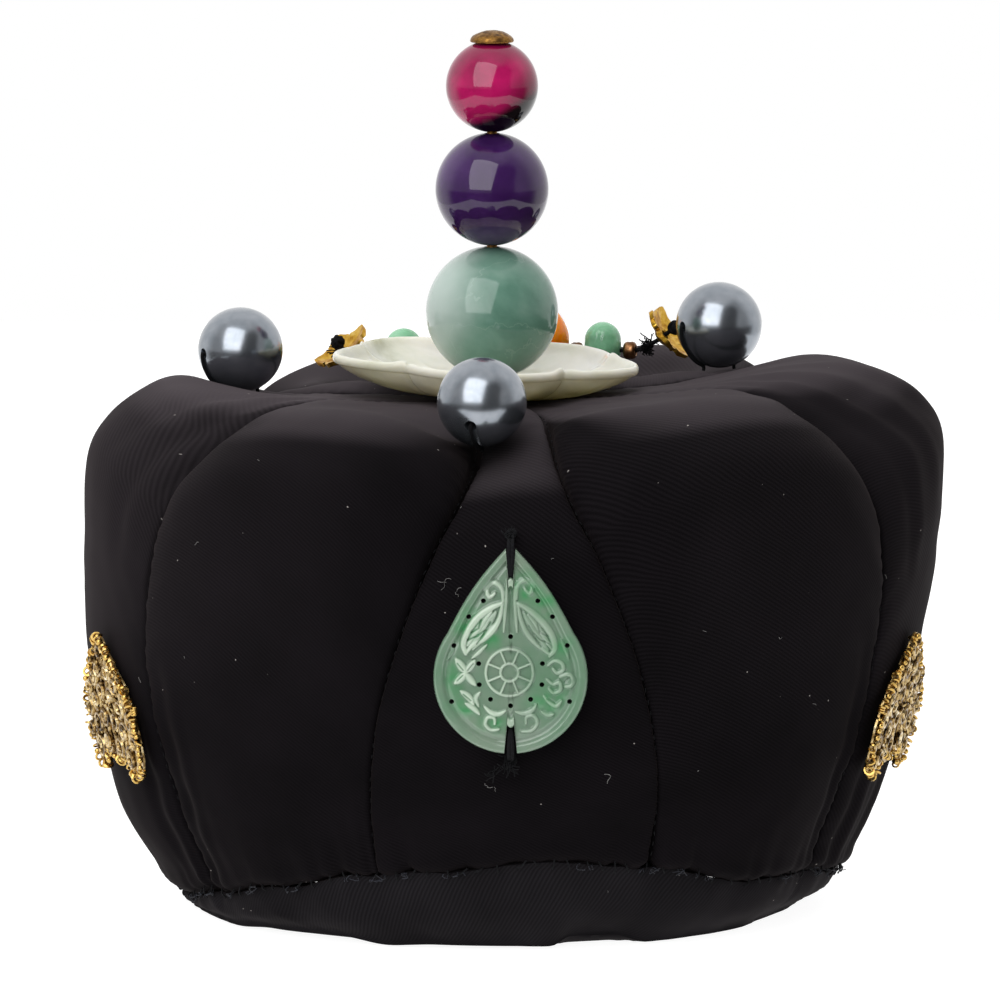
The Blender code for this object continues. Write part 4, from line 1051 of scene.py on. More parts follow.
def addZone(material, centre, direction, start, end, colour, wobble):
    # another colour takes over along a direction, start and end in mm from the bead's middle
    tree = material.node_tree
    where, aim = objectPlace(tree), Vector(direction).normalized()
    along = addNode(tree, "ShaderNodeVectorMath", {"operation": "DOT_PRODUCT"}, {1: tuple(aim)},
                    {0: where})
    wavy = reckon(tree, "MULTIPLY_ADD", {1: wobble * mm},
                  {0: noiseAt(tree, where, 90.0, 3.0), 2: along.outputs["Value"]})
    base = centre.dot(aim) + 0.5 * wobble
    share = rangeTo(tree, wavy, (base + start) * mm, (base + end) * mm, kind="SMOOTHSTEP")
    tintOver(material, share, colour)


# which bead, direction, start, end, colour, and how far the border wanders
beadZones = [
    (2, (0.1, 0.0, 1.0), 1.5, 8.0, "#6E0A34", 5.0),        # dark tip of the magenta bead
    (2, (0.8, -0.2, -0.3), 2.0, 8.0, "#6A0530", 5.0),      # its dark side
    (2, (0.42, 0.1, -0.9), 2.4, 4.6, "#0C0406", 2.0),      # its smoky foot
    (1, (0.3, 0.0, -0.95), 5.0, 10.0, "#62516E", 5.0),     # pale foot of the violet bead
    (0, (-0.9, 0.0, 0.2), 1.0, 10.0, "#A3B2AB", 6.0),      # painted reflection of the bright surroundings on the green bead's left side
    (0, (0.3, 0.0, -0.95), 4.0, 11.0, "#587567", 6.0),     # its darker foot
]
for index, *zone in beadZones:
    addZone(finial["beads"][index][2], beadCentre(index), *zone)


def drilledBall(radius, bore, rings):
    start = math.asin(bore / radius)
    outline = [(bore, -math.sqrt(radius ** 2 - bore ** 2) + 0.35)]
    for k in range(rings + 1):
        angle = start + 0.012 + (math.pi - 2 * start - 0.024) * k / rings
        outline.append((radius * math.sin(angle), -radius * math.cos(angle)))
    outline.append((bore, math.sqrt(radius ** 2 - bore ** 2) - 0.35))
    return outline


def addFinial():
    z = finial["foot"]
    for name, radius, looks, slotName, nodeName in finial["beads"]:
        half = math.sqrt(radius ** 2 - finial["bore"] ** 2)
        bm = bmesh.new()
        place = Matrix.Translation(Vector((finial["x"], finial["y"], z + half)) * mm)
        spinProfile(bm, drilledBall(radius, finial["bore"], 48), 96, True, place)
        makePiece(name, bm, looks, (nodeName,))
        z += 2 * half + finial["gap"]
    ball = finial["beads"][-1][1]
    head, rise = finial["headRadius"], finial["headRise"]
    rim = z - (math.sqrt(ball ** 2 - finial["bore"] ** 2) - math.sqrt(ball ** 2 - head ** 2))
    rim += finial["gap"]
    bm = bmesh.new()
    outline = [(0.0, z + rise), (0.25 * head, z + 0.97 * rise), (0.5 * head, z + 0.82 * rise),
               (0.72 * head, z + 0.58 * rise), (0.88 * head, z + 0.34 * rise),
               (0.97 * head, rim + finial["headEdge"] + 0.15), (head, rim + 0.5 * finial["headEdge"]),
               (0.97 * head, rim + 0.05), (0.6 * head, 0.45 * rim + 0.55 * z + 0.25),
               (finial["postRadius"], z + 0.1),
               (finial["postRadius"], finial["rivetFoot"] + finial["rivetThick"]),
               (finial["rivetRadius"] - 0.3, finial["rivetFoot"] + finial["rivetThick"]),
               (finial["rivetRadius"], finial["rivetFoot"] + finial["rivetThick"] - 0.3),
               (finial["rivetRadius"], finial["rivetFoot"] + 0.2),
               (finial["rivetRadius"] - 0.4, finial["rivetFoot"]), (0.0, finial["rivetFoot"])]
    place = Matrix.Translation(Vector((finial["x"], finial["y"], 0.0)) * mm)
    made = spinProfile(bm, outline, 64, False, place)
    for vert in made:      # hammered dome
        if vert.co.z > (rim + 0.2) * mm:
            vert.co.z += 0.16 * mm * grain(vert.co.x / mm, vert.co.y / mm, 0.0, 1.3)
    makePiece("finialHead", bm, headBronze, ("finial_pin",))


print("finial")
addFinial()


# the carved dish

dish = {"x": -5.0, "roll": 2.4, "petals": 5, "around": 400, "tip": 27.9, "notch": 23.6,
        "profile": [(1.3, 89.9, 92.35), (8.5, 89.75, 92.35), (13.5, 90.1, 92.5),
                    (18.0, 90.8, 92.9), (21.5, 91.9, 93.8), (24.5, 93.2, 94.9),
                    (27.2, 94.9, 96.1)],
        "rim": 0.6, "edgeRise": 0.5, "overlap": 0.6, "tucked": 0.35, "groove": 0.35,
        "hollow": 0.75, "pivotZ": 91.0, "along": 110,
        # shares of the section at which the underside, the rim and the upper side end
        "underEnds": 0.38, "rimEnds": 0.5, "topEnds": 0.96}


def shapedGrid(bm, across, along, place):
    # a grid whose points go where a function of (u, v), both from 0 to 1, puts them, in mm
    sheet = bmesh.ops.create_grid(bm, x_segments=across, y_segments=along, size=0.5)["verts"]
    for vert in sheet:
        vert.co = Vector(place(vert.co.x + 0.5, vert.co.y + 0.5)) * mm
    return sheet


def dishPoint(u, v):
    # v runs from the bore out under the dish, round the rim and back over it to the bore
    turn = math.tau * u
    petal = (u * dish["petals"] + 0.5) % 1.0 - 0.5
    rim = dish["tip"] - (dish["tip"] - dish["notch"]) * abs(2 * petal) ** 1.35
    radii, low, high = ([row[i] for row in dish["profile"]] for i in range(3))
    if v < dish["underEnds"]:
        part = v / dish["underEnds"]
    elif v < dish["rimEnds"]:
        part = 1.0
    else:
        part = max(0.0, (dish["topEnds"] - v) / (dish["topEnds"] - dish["rimEnds"]))
    at = part * (len(radii) - 1)
    reach = throughPoints(radii, at) * (1.0 - (1.0 - (rim - dish["rim"]) / radii[-1]) * part ** 2)
    under, top = throughPoints(low, at), throughPoints(high, at)
    # each petal laps over the next one at a groove, swells at its edge and is hollow between
    toSide = (0.5 - abs(petal)) * math.tau * max(reach, 2.0) / dish["petals"]
    toRim = max(0.0, rim - reach)
    side = smoothStep(reach, 7.0, 15.0)
    lift = dish["overlap"] * (1.0 if petal > 0 else dish["tucked"]) * side * bump(toSide, 0.9, 1.5)
    lift -= dish["groove"] * side * bump(toSide, 0.0, 0.22)
    lift += dish["edgeRise"] * bump(toRim, 0.8, 0.9)
    hollow = dish["hollow"] * smoothStep(reach, 3.0, 12.0) * smoothStep(toRim, 0.3, 3.0)
    lift -= hollow * bump(toSide, 7.0, 5.0)
    if v < dish["underEnds"]:
        z = under + dish["groove"] * side * bump(toSide, 0.0, 0.35)
    elif v < dish["rimEnds"]:
        angle = math.pi * ((v - dish["underEnds"]) / (dish["rimEnds"] - dish["underEnds"]) - 0.5)
        half = 0.5 * (top + lift - under)
        reach += dish["rim"] * math.cos(angle)
        z = under + half + half * math.sin(angle)
    else:
        z = top + lift
    ripple = 0.05 * grain(reach * math.sin(turn), reach * math.cos(turn), z, 2.5)
    x = reach * math.sin(turn) + dish["x"]
    # the bore follows the beads' pin
    x += (finial["x"] - dish["x"]) * max(0.0, 1.0 - (reach - radii[0]) / 12.0)
    return x, -reach * math.cos(turn), z + ripple * smoothStep(reach, 3.0, 8.0)


def addDish():
    bm = bmesh.new()
    made = shapedGrid(bm, dish["around"], dish["along"], dishPoint)
    pivot = Matrix.Translation(Vector((finial["x"], 0.0, dish["pivotZ"])) * mm)
    roll = Matrix.Rotation(math.radians(dish["roll"]), 4, "Y")
    bmesh.ops.transform(bm, matrix=pivot @ roll @ pivot.inverted(), verts=made)
    # the first and last rows meet at the bore
    makePiece("lotusDish", bm, nephrite, ("lotus_plate",), merge=0.004)


print("dish")
addDish()

# pearls and the threads that tie them down

pearls = {
    "front": {"at": (-5.4, -48.5, 94.2), "radius": 7.72, "axis": (-0.25, -0.86, -0.44)},
    "left": {"at": (-48.2, 7.0, 96.75), "radius": 7.5, "axis": (0.86, 0.5, 0.05)},
    "right": {"at": (36.8, 25.0, 99.1), "radius": 7.68, "axis": (0.86, 0.5, 0.0)},
}
# a pearl's thread starts inside the hole, hugs the pearl at these angles and goes into the silk
tie = {"bore": 0.95, "radius": 0.32, "hug": 0.256, "inside": 0.8, "angles": (12, 26, 40, 54, 66),
       "sunk": 0.5, "past": 0.8}


def silkHeight(x, y):
    azimuth, reach = math.degrees(math.atan2(x, -y)), math.hypot(x, y)
    return silkPoint(azimuth, lastTrue(0.0, 8.5, lambda t: math.hypot(
        *silkPoint(azimuth, t).xy) < reach)).z


def addPearl(side, at, radius, axis):
    bm = bmesh.new()
    spinProfile(bm, drilledBall(radius, tie["bore"], 44), 88, True, facing(at, axis))
    makePiece("pearl_" + side + "_ball", bm, pearlGrey, ("pearl_" + side,))
    middle, bore = Vector(at), Vector(axis).normalized()
    hug = radius + tie["hug"]
    ends = []
    for sign in (-1, 1):
        out = bore * sign
        reach = [middle + out * (radius - tie["inside"]), middle + out * (hug - 0.1)]
        lean = (upBy(-1.0) + out * out.z).normalized()
        for angle in tie["angles"]:
            turn = math.radians(angle)
            point = middle + (out * math.cos(turn) + lean * math.sin(turn)) * hug
            sunk = silkHeight(point.x, point.y) - tie["sunk"]
            reached = point.z < sunk
            point.z = max(point.z, sunk)
            reach.append(point)
            if reached:
                break
        ends.append(reach + [reach[-1] - upBy(tie["past"])])
    route = ends[0][::-1] + [middle] + ends[1]
    bm = bmesh.new()
    tubeAlong(bm, smoothPath(route, 5), tie["radius"], 10)
    makePiece("pearl_" + side + "_cord", bm, threadBlack,
              ("pearl_" + side + "_thread",))


print("pearls")
for side, pearl in pearls.items():
    addPearl(side, **pearl)

# carved teardrop

plaque = {
    "radius": 13.1, "height": 35.9, "thick": 2.6, "foot": (-0.5, -73.75, 37.3), "lean": -1.2,
    "side": 18.7, "full": 0.85, "border": 1.5, "sunk": 0.5, "centre": 14.2, "around": 480,
    "rows": 147, "frontShare": 0.8, "edgeShare": 0.12, "rounding": 0.5,
    # azimuth from the tip, reach from the centre, half angle in degrees
    "notches": [(0.0, 16.1, 1.9), (180.0, 9.8, 3.9)],
    "holes": [(4.6, 26.2), (7.1, 23.5), (9.6, 18.6), (5.4, 15.5), (5.3, 11.9), (3.4, 9.4),
              (10.0, 9.0), (0.0, 20.1), (0.0, 8.3)],
    "holeRadius": 0.42,
}
# carved lines in the plaque's plane: points across and up, half width, height, how much thinner
# the ends are
carving = [
    # curls under the upper notch
    ([(-1.3, 26.2), (-1.5, 28.3), (-2.9, 29.4), (-4.1, 28.3),
      (-3.6, 26.9), (-2.7, 27.5)], 0.5, 0.5, 0.4),
    ([(1.0, 26.6), (1.2, 28.8), (2.5, 29.8), (3.7, 28.7),
      (3.2, 27.5), (2.4, 28.2)], 0.45, 0.4, 0.4),
    # left leaf: rim, point and veins
    ([(-1.4, 25.8), (-3.4, 25.0), (-5.5, 23.4), (-7.2, 21.3),
      (-8.0, 19.0), (-7.6, 17.2)], 0.75, 0.55, 0.5),
    ([(-1.4, 25.6), (-1.9, 23.2), (-3.0, 21.2), (-4.6, 19.7),
      (-6.5, 18.6), (-7.5, 17.3)], 0.6, 0.5, 0.5),
    ([(-2.5, 24.3), (-4.2, 21.8), (-6.9, 18.3)], 0.75, 0.35, 0.6),
    ([(-3.2, 24.4), (-5.6, 21.3), (-7.3, 18.6)], 0.6, 0.42, 0.6),
    ([(-2.2, 22.8), (-3.9, 20.6), (-6.4, 17.9)], 0.5, 0.38, 0.6),
    ([(-4.0, 18.8), (-5.4, 17.4), (-6.6, 16.4)], 0.45, 0.4, 0.7),
    # right leaf
    ([(1.2, 25.8), (3.2, 24.6), (5.2, 22.8), (6.9, 20.5),
      (7.5, 18.2), (6.6, 16.8)], 0.7, 0.45, 0.5),
    ([(1.3, 25.4), (1.8, 22.8), (2.8, 20.6), (4.2, 19.0),
      (5.6, 17.9), (6.7, 17.0)], 0.55, 0.42, 0.5),
    ([(2.3, 24.0), (3.9, 21.4), (6.3, 17.8)], 0.7, 0.3, 0.6),
    ([(3.0, 23.9), (5.2, 20.9), (6.9, 18.0)], 0.5, 0.36, 0.6),
    # middle stem from the notch
    ([(-0.5, 29.8), (-0.75, 26.5), (-1.0, 23.4), (-1.2, 20.9)], 0.4, 0.4, 0.5),
    ([(0.45, 29.8), (0.7, 26.5), (0.9, 23.4), (1.1, 20.9)], 0.4, 0.4, 0.5),
    # four wings at the left of the rosette
    ([(-9.2, 16.2), (-8.3, 15.0), (-7.7, 14.1)], 0.85, 0.5, 0.6),
    ([(-6.1, 16.0), (-6.8, 15.0), (-7.5, 14.1)], 0.75, 0.45, 0.6),
    ([(-9.4, 12.2), (-8.4, 13.0), (-7.7, 13.9)], 0.8, 0.5, 0.6),
    ([(-6.0, 11.9), (-6.9, 12.9), (-7.5, 13.8)], 0.75, 0.45, 0.6),
    # wedges and crescents below
    ([(-8.4, 10.8), (-7.2, 9.9), (-6.3, 8.6)], 0.7, 0.5, 0.6),
    ([(-7.6, 8.7), (-6.4, 8.0), (-5.3, 6.9)], 0.6, 0.45, 0.6),
    ([(-5.2, 10.6), (-5.9, 9.6), (-5.4, 8.2)], 0.5, 0.4, 0.6),
    ([(-4.5, 8.3), (-3.4, 7.2), (-2.0, 6.9), (-0.8, 7.5)], 0.55, 0.5, 0.7),
    ([(-2.0, 4.3), (-3.4, 4.2), (-4.3, 5.2), (-3.9, 6.3),
      (-2.8, 6.2), (-2.7, 5.2)], 0.42, 0.42, 0.3),
    ([(0.8, 7.3), (2.2, 7.0), (3.6, 7.5), (4.4, 8.6)], 0.5, 0.45, 0.7),
    ([(1.9, 3.9), (3.6, 4.1), (4.5, 5.4), (3.9, 6.6), (2.7, 6.4), (2.6, 5.3)], 0.42, 0.42, 0.3),
    # clouds and flower at the right
    ([(6.4, 15.3), (7.4, 16.0), (8.6, 15.6), (8.9, 14.5),
      (7.9, 13.9), (7.2, 14.6)], 0.45, 0.45, 0.3),
    ([(8.4, 13.3), (9.6, 13.7), (10.6, 13.0), (10.4, 11.8), (9.3, 11.6)], 0.5, 0.45, 0.3),
    ([(6.2, 12.8), (7.2, 12.0), (8.3, 12.3), (8.4, 11.0),
      (7.3, 10.5), (6.5, 11.2)], 0.42, 0.4, 0.3),
    ([(5.6, 10.0), (6.6, 8.9), (7.8, 8.3), (8.6, 9.2)], 0.5, 0.42, 0.6),
    ([(5.2, 7.3), (6.4, 6.7), (7.3, 6.9)], 0.45, 0.4, 0.6),
    ([(-9.6, 19.0), (-9.9, 17.6), (-10.6, 16.2)], 0.4, 0.35, 0.6),
    ([(8.6, 19.6), (9.4, 17.9), (9.8, 16.4)], 0.42, 0.35, 0.6),
]
# rosette in the middle: a ring with a lattice of eight spokes
rosette = {"at": (-0.2, 14.0), "ring": 4.0, "inner": 1.5, "bar": 0.26, "height": 0.42}
for reach in (rosette["ring"], rosette["inner"]):
    ring = [(rosette["at"][0] + reach * math.cos(math.tau * k / 24),
             rosette["at"][1] + reach * math.sin(math.tau * k / 24)) for k in range(25)]
    carving.append((ring, rosette["bar"] + 0.06, rosette["height"], 0.0))
for k in range(8):
    angle = math.tau * (k + 0.5) / 8
    spoke = [(rosette["at"][0] + r * math.cos(angle), rosette["at"][1] + r * math.sin(angle))
             for r in (rosette["inner"], 2.7, rosette["ring"])]
    carving.append((spoke, rosette["bar"], rosette["height"], 0.0))
# fine cuts: points, half width, depth
incisions = [
    ([(-6.6, 20.9), (-5.4, 21.5), (-5.0, 22.9)], 0.16, 0.3),
    ([(-7.2, 19.6), (-5.7, 20.2), (-4.3, 21.2)], 0.16, 0.3),
    ([(-5.7, 18.9), (-4.9, 19.9), (-3.4, 22.6)], 0.16, 0.3),
    ([(6.3, 20.2), (5.0, 20.8), (4.6, 22.2)], 0.15, 0.25),
    ([(6.6, 18.9), (5.2, 19.5), (3.9, 20.6)], 0.15, 0.25),
    ([(5.2, 18.4), (4.4, 19.4), (3.0, 22.0)], 0.15, 0.25),
    ([(0.0, 30.0), (0.0, 26.0), (-0.05, 20.8)], 0.3, 0.35),
    ([(-9.0, 15.6), (-8.0, 14.4)], 0.14, 0.25), ([(-6.3, 15.5), (-7.2, 14.4)], 0.14, 0.25),
    ([(-9.0, 12.6), (-8.1, 13.5)], 0.14, 0.25), ([(-8.0, 10.3), (-6.7, 9.2)], 0.14, 0.25),
    ([(10.0, 13.2), (9.2, 12.4)], 0.14, 0.25), ([(6.2, 9.5), (7.6, 8.7)], 0.14, 0.25),
]
greenPatches = [(-7.0, 22.0, 2.6, 3.0), (2.5, 28.6, 2.2, 2.2), (5.6, 25.6, 2.4, 2.4),
                (6.2, 9.2, 2.8, 2.0), (-7.8, 8.2, 2.4, 1.6), (-3.0, 5.4, 2.2, 1.5),
                (-9.5, 13.0, 1.6, 2.6), (8.4, 18.0, 2.0, 2.0), (-3.2, 19.6, 1.6, 1.6)]


def edgeDistance(x, y):
    # how far inside the teardrop's outline a point lies
    half = math.asin(plaque["radius"] / (plaque["height"] - plaque["radius"]))
    dx, dy = abs(x), y - plaque["radius"]
    if math.atan2(dy, dx) > half:
        # the sides are slightly full
        along = (dy * math.cos(half) - dx * math.sin(half)) / plaque["side"]
        full = plaque["full"] * math.sin(math.pi * min(1.0, max(0.0, along)))
        return plaque["radius"] + full - (dx * math.cos(half) + dy * math.sin(half))
    return plaque["radius"] - math.hypot(dx, dy)


def segmentDistance(x, y, path):
    # distance to a line through points, and how far along it the nearest point lies
    best, where, last = 99.0, 0.0, len(path) - 1
    for k in range(last):
        (ax, ay), (bx, by) = path[k], path[k + 1]
        ux, uy = bx - ax, by - ay
        f = ((x - ax) * ux + (y - ay) * uy) / (ux * ux + uy * uy)
        f = 0.0 if f < 0 else 1.0 if f > 1 else f
        d = (x - ax - f * ux) ** 2 + (y - ay - f * uy) ** 2
        if d < best:
            best, where = d, (k + f) / last
    return math.sqrt(best), where


def carvedPaths():
    # each line smoothed, with the box that it can reach
    made = []
    for points, wide, tall, thin in carving:
        path = [tuple(p) for p in smoothPath(points, 4)]
        xs, ys = zip(*path)
        box = (min(xs) - wide, max(xs) + wide, min(ys) - wide, max(ys) + wide)
        made.append((path, wide, tall, thin, box))
    return made


def reliefAt(x, y, paths):
    rise = 0.0
    for path, wide, tall, thin, (x0, x1, y0, y1) in paths:
        if x0 < x < x1 and y0 < y < y1:
            d, where = segmentDistance(x, y, path)
            w = wide * (1.0 - thin * abs(2 * where - 1.0) ** 2)
            if d < w:
                rise = max(rise, tall * (1.0 - (d / w) ** 2) ** 0.6)
    for path, wide, deep in incisions:
        if abs(x - path[0][0]) < 5.0 and abs(y - path[0][1]) < 10.0:
            rise -= deep * bump(segmentDistance(x, y, path)[0], 0.0, wide)
    return rise


def plaquePlace():
    x, y, z = plaque["foot"]
    return (Matrix.Translation(Vector((x, y, z)) * mm)
            @ Matrix.Rotation(math.radians(plaque["lean"]), 4, "X")
            @ Matrix.Rotation(math.pi / 2, 4, "X"))


def cutThrough(made, cutters):
    # takes closed shapes out of a piece, once, with an exact Boolean
    tool = addObject("cutters", toMesh("cutters", cutters))
    modifier = made.modifiers.new("bores", "BOOLEAN")
    modifier.solver = "EXACT"
    modifier.object = tool
    bpy.context.view_layer.update()
    cutMesh = bpy.data.meshes.new_from_object(made.evaluated_get(
        bpy.context.evaluated_depsgraph_get()))
    made.modifiers.clear()
    made.data = cutMesh
    bpy.data.objects.remove(tool, do_unlink=True)


def addPlaque():
    centre = plaque["centre"]
    paths = carvedPaths()
    reaches = []
    for k in range(plaque["around"]):
        turn = math.tau * k / plaque["around"]
        reach = lastTrue(0.0, 30.0, lambda r: edgeDistance(
            r * math.sin(turn), centre + r * math.cos(turn)) > 0, 24)
        for at, end, half in plaque["notches"]:
            off = abs(signedTurn(math.degrees(turn) - at))
            if off < half:
                reach = min(reach, end - 0.5 * (off / half) ** 2)
        reaches.append(reach)
    field = plaque["thick"] - plaque["sunk"]

    def place(u, v):
        k = int(round(u * plaque["around"])) % plaque["around"]
        turn, reach = math.tau * k / plaque["around"], reaches[k]
        if v < plaque["frontShare"]:
            r = (reach - plaque["rounding"]) * v / plaque["frontShare"]
            x, y = r * math.sin(turn), centre + r * math.cos(turn)
            inside = min(edgeDistance(x, y), 0.7 * (reach - r) + 0.35)
            border = 1.0 - smoothStep(inside, plaque["border"] - 0.25, plaque["border"] + 0.25)
            z = field + plaque["sunk"] * border
            z -= 0.22 * bump(inside, plaque["border"] + 0.45, 0.25)
            z += reliefAt(x, y, paths) * (1.0 - border)
            z += 0.04 * grain(x, y, 0.0, 1.7)
        else:
            # round the edge and back behind to the middle
            past = v - plaque["frontShare"]
            angle = min(1.0, past / plaque["edgeShare"]) * math.pi
            half = 0.5 * plaque["thick"]
            r = reach - plaque["rounding"] + plaque["rounding"] * math.sin(angle)
            z = half + half * math.cos(angle)
            if past > plaque["edgeShare"]:
                behind = 1.0 - plaque["frontShare"] - plaque["edgeShare"]
                r = (reach - plaque["rounding"]) * (1.0 - v) / behind
            x, y = r * math.sin(turn), centre + r * math.cos(turn)
        return x, y, z

    bm = bmesh.new()
    stain = bm.verts.layers.float.new("green")
    # the share of painted highlight at each point of the teardrop
    raised = bm.verts.layers.float.new("raised")
    sheet = shapedGrid(bm, plaque["around"], plaque["rows"], place)
    for vert in sheet:
        x, y, z = vert.co / mm
        green = sum(math.exp(-((x - px) / sx) ** 2 - ((y - py) / sy) ** 2)
                    for px, py, sx, sy in greenPatches)
        vert[stain] = min(1.0, green * (0.75 + 0.8 * grain(x, y, 0.0, 1.6)))
        # painted highlight: the left half gets the most, where the light falls
        paintedHighlight = 0.35 + 0.6 * smoothStep(-x, -3.0, 4.0)
        inside = smoothStep(edgeDistance(x, y), plaque["border"], plaque["border"] + 0.6)
        vert[raised] = paintedHighlight * inside * smoothStep(z, field + 0.12, field + 0.5)
    bmesh.ops.transform(bm, matrix=plaquePlace(), verts=sheet)
    made = makePiece("jadeTeardrop", bm, plaqueJade, ("jade_plaque",), merge=0.004)
    cutters = bmesh.new()
    for across, up in plaque["holes"]:
        for side in ((1, -1) if across else (1,)):
            at = plaquePlace() @ Matrix.Translation((side * across * mm, up * mm, 0.0013))
            bmesh.ops.create_cone(cutters, cap_ends=True, segments=20, depth=8 * mm, matrix=at,
                                  radius1=plaque["holeRadius"] * mm,
                                  radius2=plaque["holeRadius"] * mm)
    cutThrough(made, cutters)


print("plaque")
addPlaque()


def onPlaque(across, up, out):
    return plaquePlace() @ (Vector((across, up, out)) * mm) / mm


def addFibres(name, spots, radius):
    # short curled fibres: where they start, how far they wander and which way, how many
    bm = bmesh.new()
    for start, spread, drift, count in spots:
        for _ in range(count):
            wander = [Vector(start) + shaken(0.25 * spread)]
            heading = Vector(drift) + shaken(0.6)
            for _ in range(4):
                heading += shaken(0.45)
                wander.append(wander[-1] + heading.normalized() * spread * random.uniform(0.2, 0.4))
            tubeAlong(bm, smoothPath(wander, 3), radius, 4)
    makePiece(name, bm, threadBlack)


# the two loops through the notches, in the plaque's plane: where each starts on the face, the
# edge that it crosses and where it goes into the silk
plaqueTies = {"radius": 0.36, "apart": 0.26, "over": 0.75, "knotRadius": 0.33, "knotLoops": 5,
              "ends": [("top", 30.2, 36.2, 36.5), ("bottom", 4.2, -0.5, -1.3)]}


def addPlaqueThreads():
    thick = plaque["thick"]
    front = thick + plaqueTies["over"]
    for end, start, edge, past in plaqueTies["ends"]:
        bm = bmesh.new()
        foot = onPlaque(0.0, past, 0.0)
        azimuth = math.degrees(math.atan2(foot.x, -foot.y))
        on, normal = onSilk(azimuth, rowAt(azimuth, foot.z), 0.4)
        for shift in (-plaqueTies["apart"], plaqueTies["apart"]):
            route = [onPlaque(0.0, start, 0.2), onPlaque(0.2 * shift, start, 0.6 * thick),
                     onPlaque(0.6 * shift, 0.75 * start + 0.25 * edge, front - 0.5),
                     onPlaque(shift, 0.4 * start + 0.6 * edge, front - 0.4),
                     onPlaque(shift, edge, 0.75 * thick), on + Vector((shift, 0, 0))]
            tubeAlong(bm, smoothPath(route, 5), plaqueTies["radius"], 8)
        # knot where the ends go into the silk
        for k in range(plaqueTies["knotLoops"]):
            size, tilt = random.uniform(0.8, 1.2), random.uniform(0, math.pi)
            loop = []
            for a in (math.tau * j / 9 for j in range(9)):
                across, up = size * math.cos(a) * math.cos(tilt), size * math.sin(a)
                loop.append(on + normal * (0.35 + 0.5 * math.cos(a + tilt))
                            + Vector((across, 0, up * (0.6 + 0.08 * k))))
            windKnot(bm, loop, plaqueTies["knotRadius"])
        makePiece("plaqueCord_" + end, bm, threadBlack,
                  ("plaque_thread_" + end,))


addPlaqueThreads()
addFibres("plaqueFrays", [(onPlaque(-0.4, 37.2, 0.7), 1.3, (-0.3, -0.6, 0.5), 10),
                          (onPlaque(-0.3, -1.6, 0.7), 2.0, (0.0, -0.5, -0.9), 22),
                          (onPlaque(-2.6, -3.2, 0.6), 1.6, (-0.8, -0.2, -0.2), 6)], 0.1)

# gilt side ornaments

ornament = {
    "outline": [(0.0, 10.8), (0.9, 12.3), (4.4, 13.6), (9.3, 13.8), (12.8, 13.0), (17.2, 10.4),
                (21.0, 6.3), (24.5, 2.5), (26.3, 0.8)],
    "feet": [(0.0, 7.2), (2.9, 5.6), (3.2, 3.9), (2.2, 1.6)],
    "height": 26.3, "azimuth": 70.5, "footZ": 25.8, "rise": 12.0, "off": 0.3, "coilPitch": 1.2,
    "rimBalls": 0.35, "ribEnds": (1.2, 24.6), "ribRadius": 0.34, "scrollRadius": 0.4,
    "scrollIn": 0.72, "fill": 75, "fieldRings": 0.6,
    # the finished plate is drawn in about its middle by these factors, across and up
    "middle": 13.5, "narrow": 0.9, "low": 0.955,
    # scrolls: across, up, reach, turns, start in degrees; mirrored when away from the middle
    "scrolls": [(3.1, 5.6, 2.1, 1.3, 200), (8.0, 3.9, 2.2, 1.3, 80), (11.2, 6.9, 1.6, 1.2, 300),
                (6.6, 8.6, 2.0, 1.3, 20), (2.7, 10.4, 2.0, 1.3, 160), (10.6, 11.0, 1.8, 1.3, 90),
                (6.2, 13.0, 1.9, 1.2, 250), (2.4, 15.0, 1.8, 1.3, 330), (8.9, 15.0, 1.4, 1.2, 30),
                (5.4, 17.4, 1.7, 1.3, 120), (2.2, 19.5, 1.5, 1.2, 210), (0.0, 22.9, 1.3, 1.2, 0),
                (3.9, 21.2, 1.0, 1.1, 60)],
}


def ornamentPlace(side):
    azimuth = side * ornament["azimuth"]
    low = silkPoint(azimuth, rowAt(azimuth, ornament["footZ"] + 3.0))
    high = silkPoint(azimuth, rowAt(azimuth, ornament["footZ"] + 24.0))
    up = (high - low).normalized()
    touch = ornament["footZ"] + ornament["rise"]
    across = (silkPoint(azimuth + 4.0, rowAt(azimuth + 4.0, touch))
              - silkPoint(azimuth - 4.0, rowAt(azimuth - 4.0, touch)))
    across = (across - up * across.dot(up)).normalized()
    out = across.cross(up)
    foot = silkPoint(azimuth, rowAt(azimuth, touch)) - up * ornament["rise"] + out * ornament["off"]
    return Matrix.Translation(foot * mm) @ Matrix((across, up, out)).transposed().to_4x4()


def evenly(points, gap):
    # points at equal steps along a line
    found, carried = [points[0]], 0.0
    for one, other in zip(points, points[1:]):
        length = (other - one).length
        while carried + length >= gap:
            f = (gap - carried) / length
            one = one.lerp(other, f)
            length = (other - one).length
            found.append(one)
            carried = 0.0
        carried += length
    return found


def ringAt(bm, at, axis, radius):
    stamp(bm, ringMesh, facing(at, axis) @ sized(radius, radius, radius))


def ballAt(bm, at, radius):
    stamp(bm, ballMesh, Matrix.Translation(Vector(at) * mm) @ sized(radius, radius, radius))


def ornamentHalf(up):
    return mixAlong(ornament["outline"], up)


def archHeight(across):
    # lower edge of the plate between its feet
    return mixAlong([(0.0, 1.4), (1.6, 2.0), (3.9, 3.2), (5.6, 2.9), (7.2, 0.0)], abs(across))


def insidePlate(across, up, margin):
    return abs(across) < ornamentHalf(up) - margin and up > archHeight(across) + margin


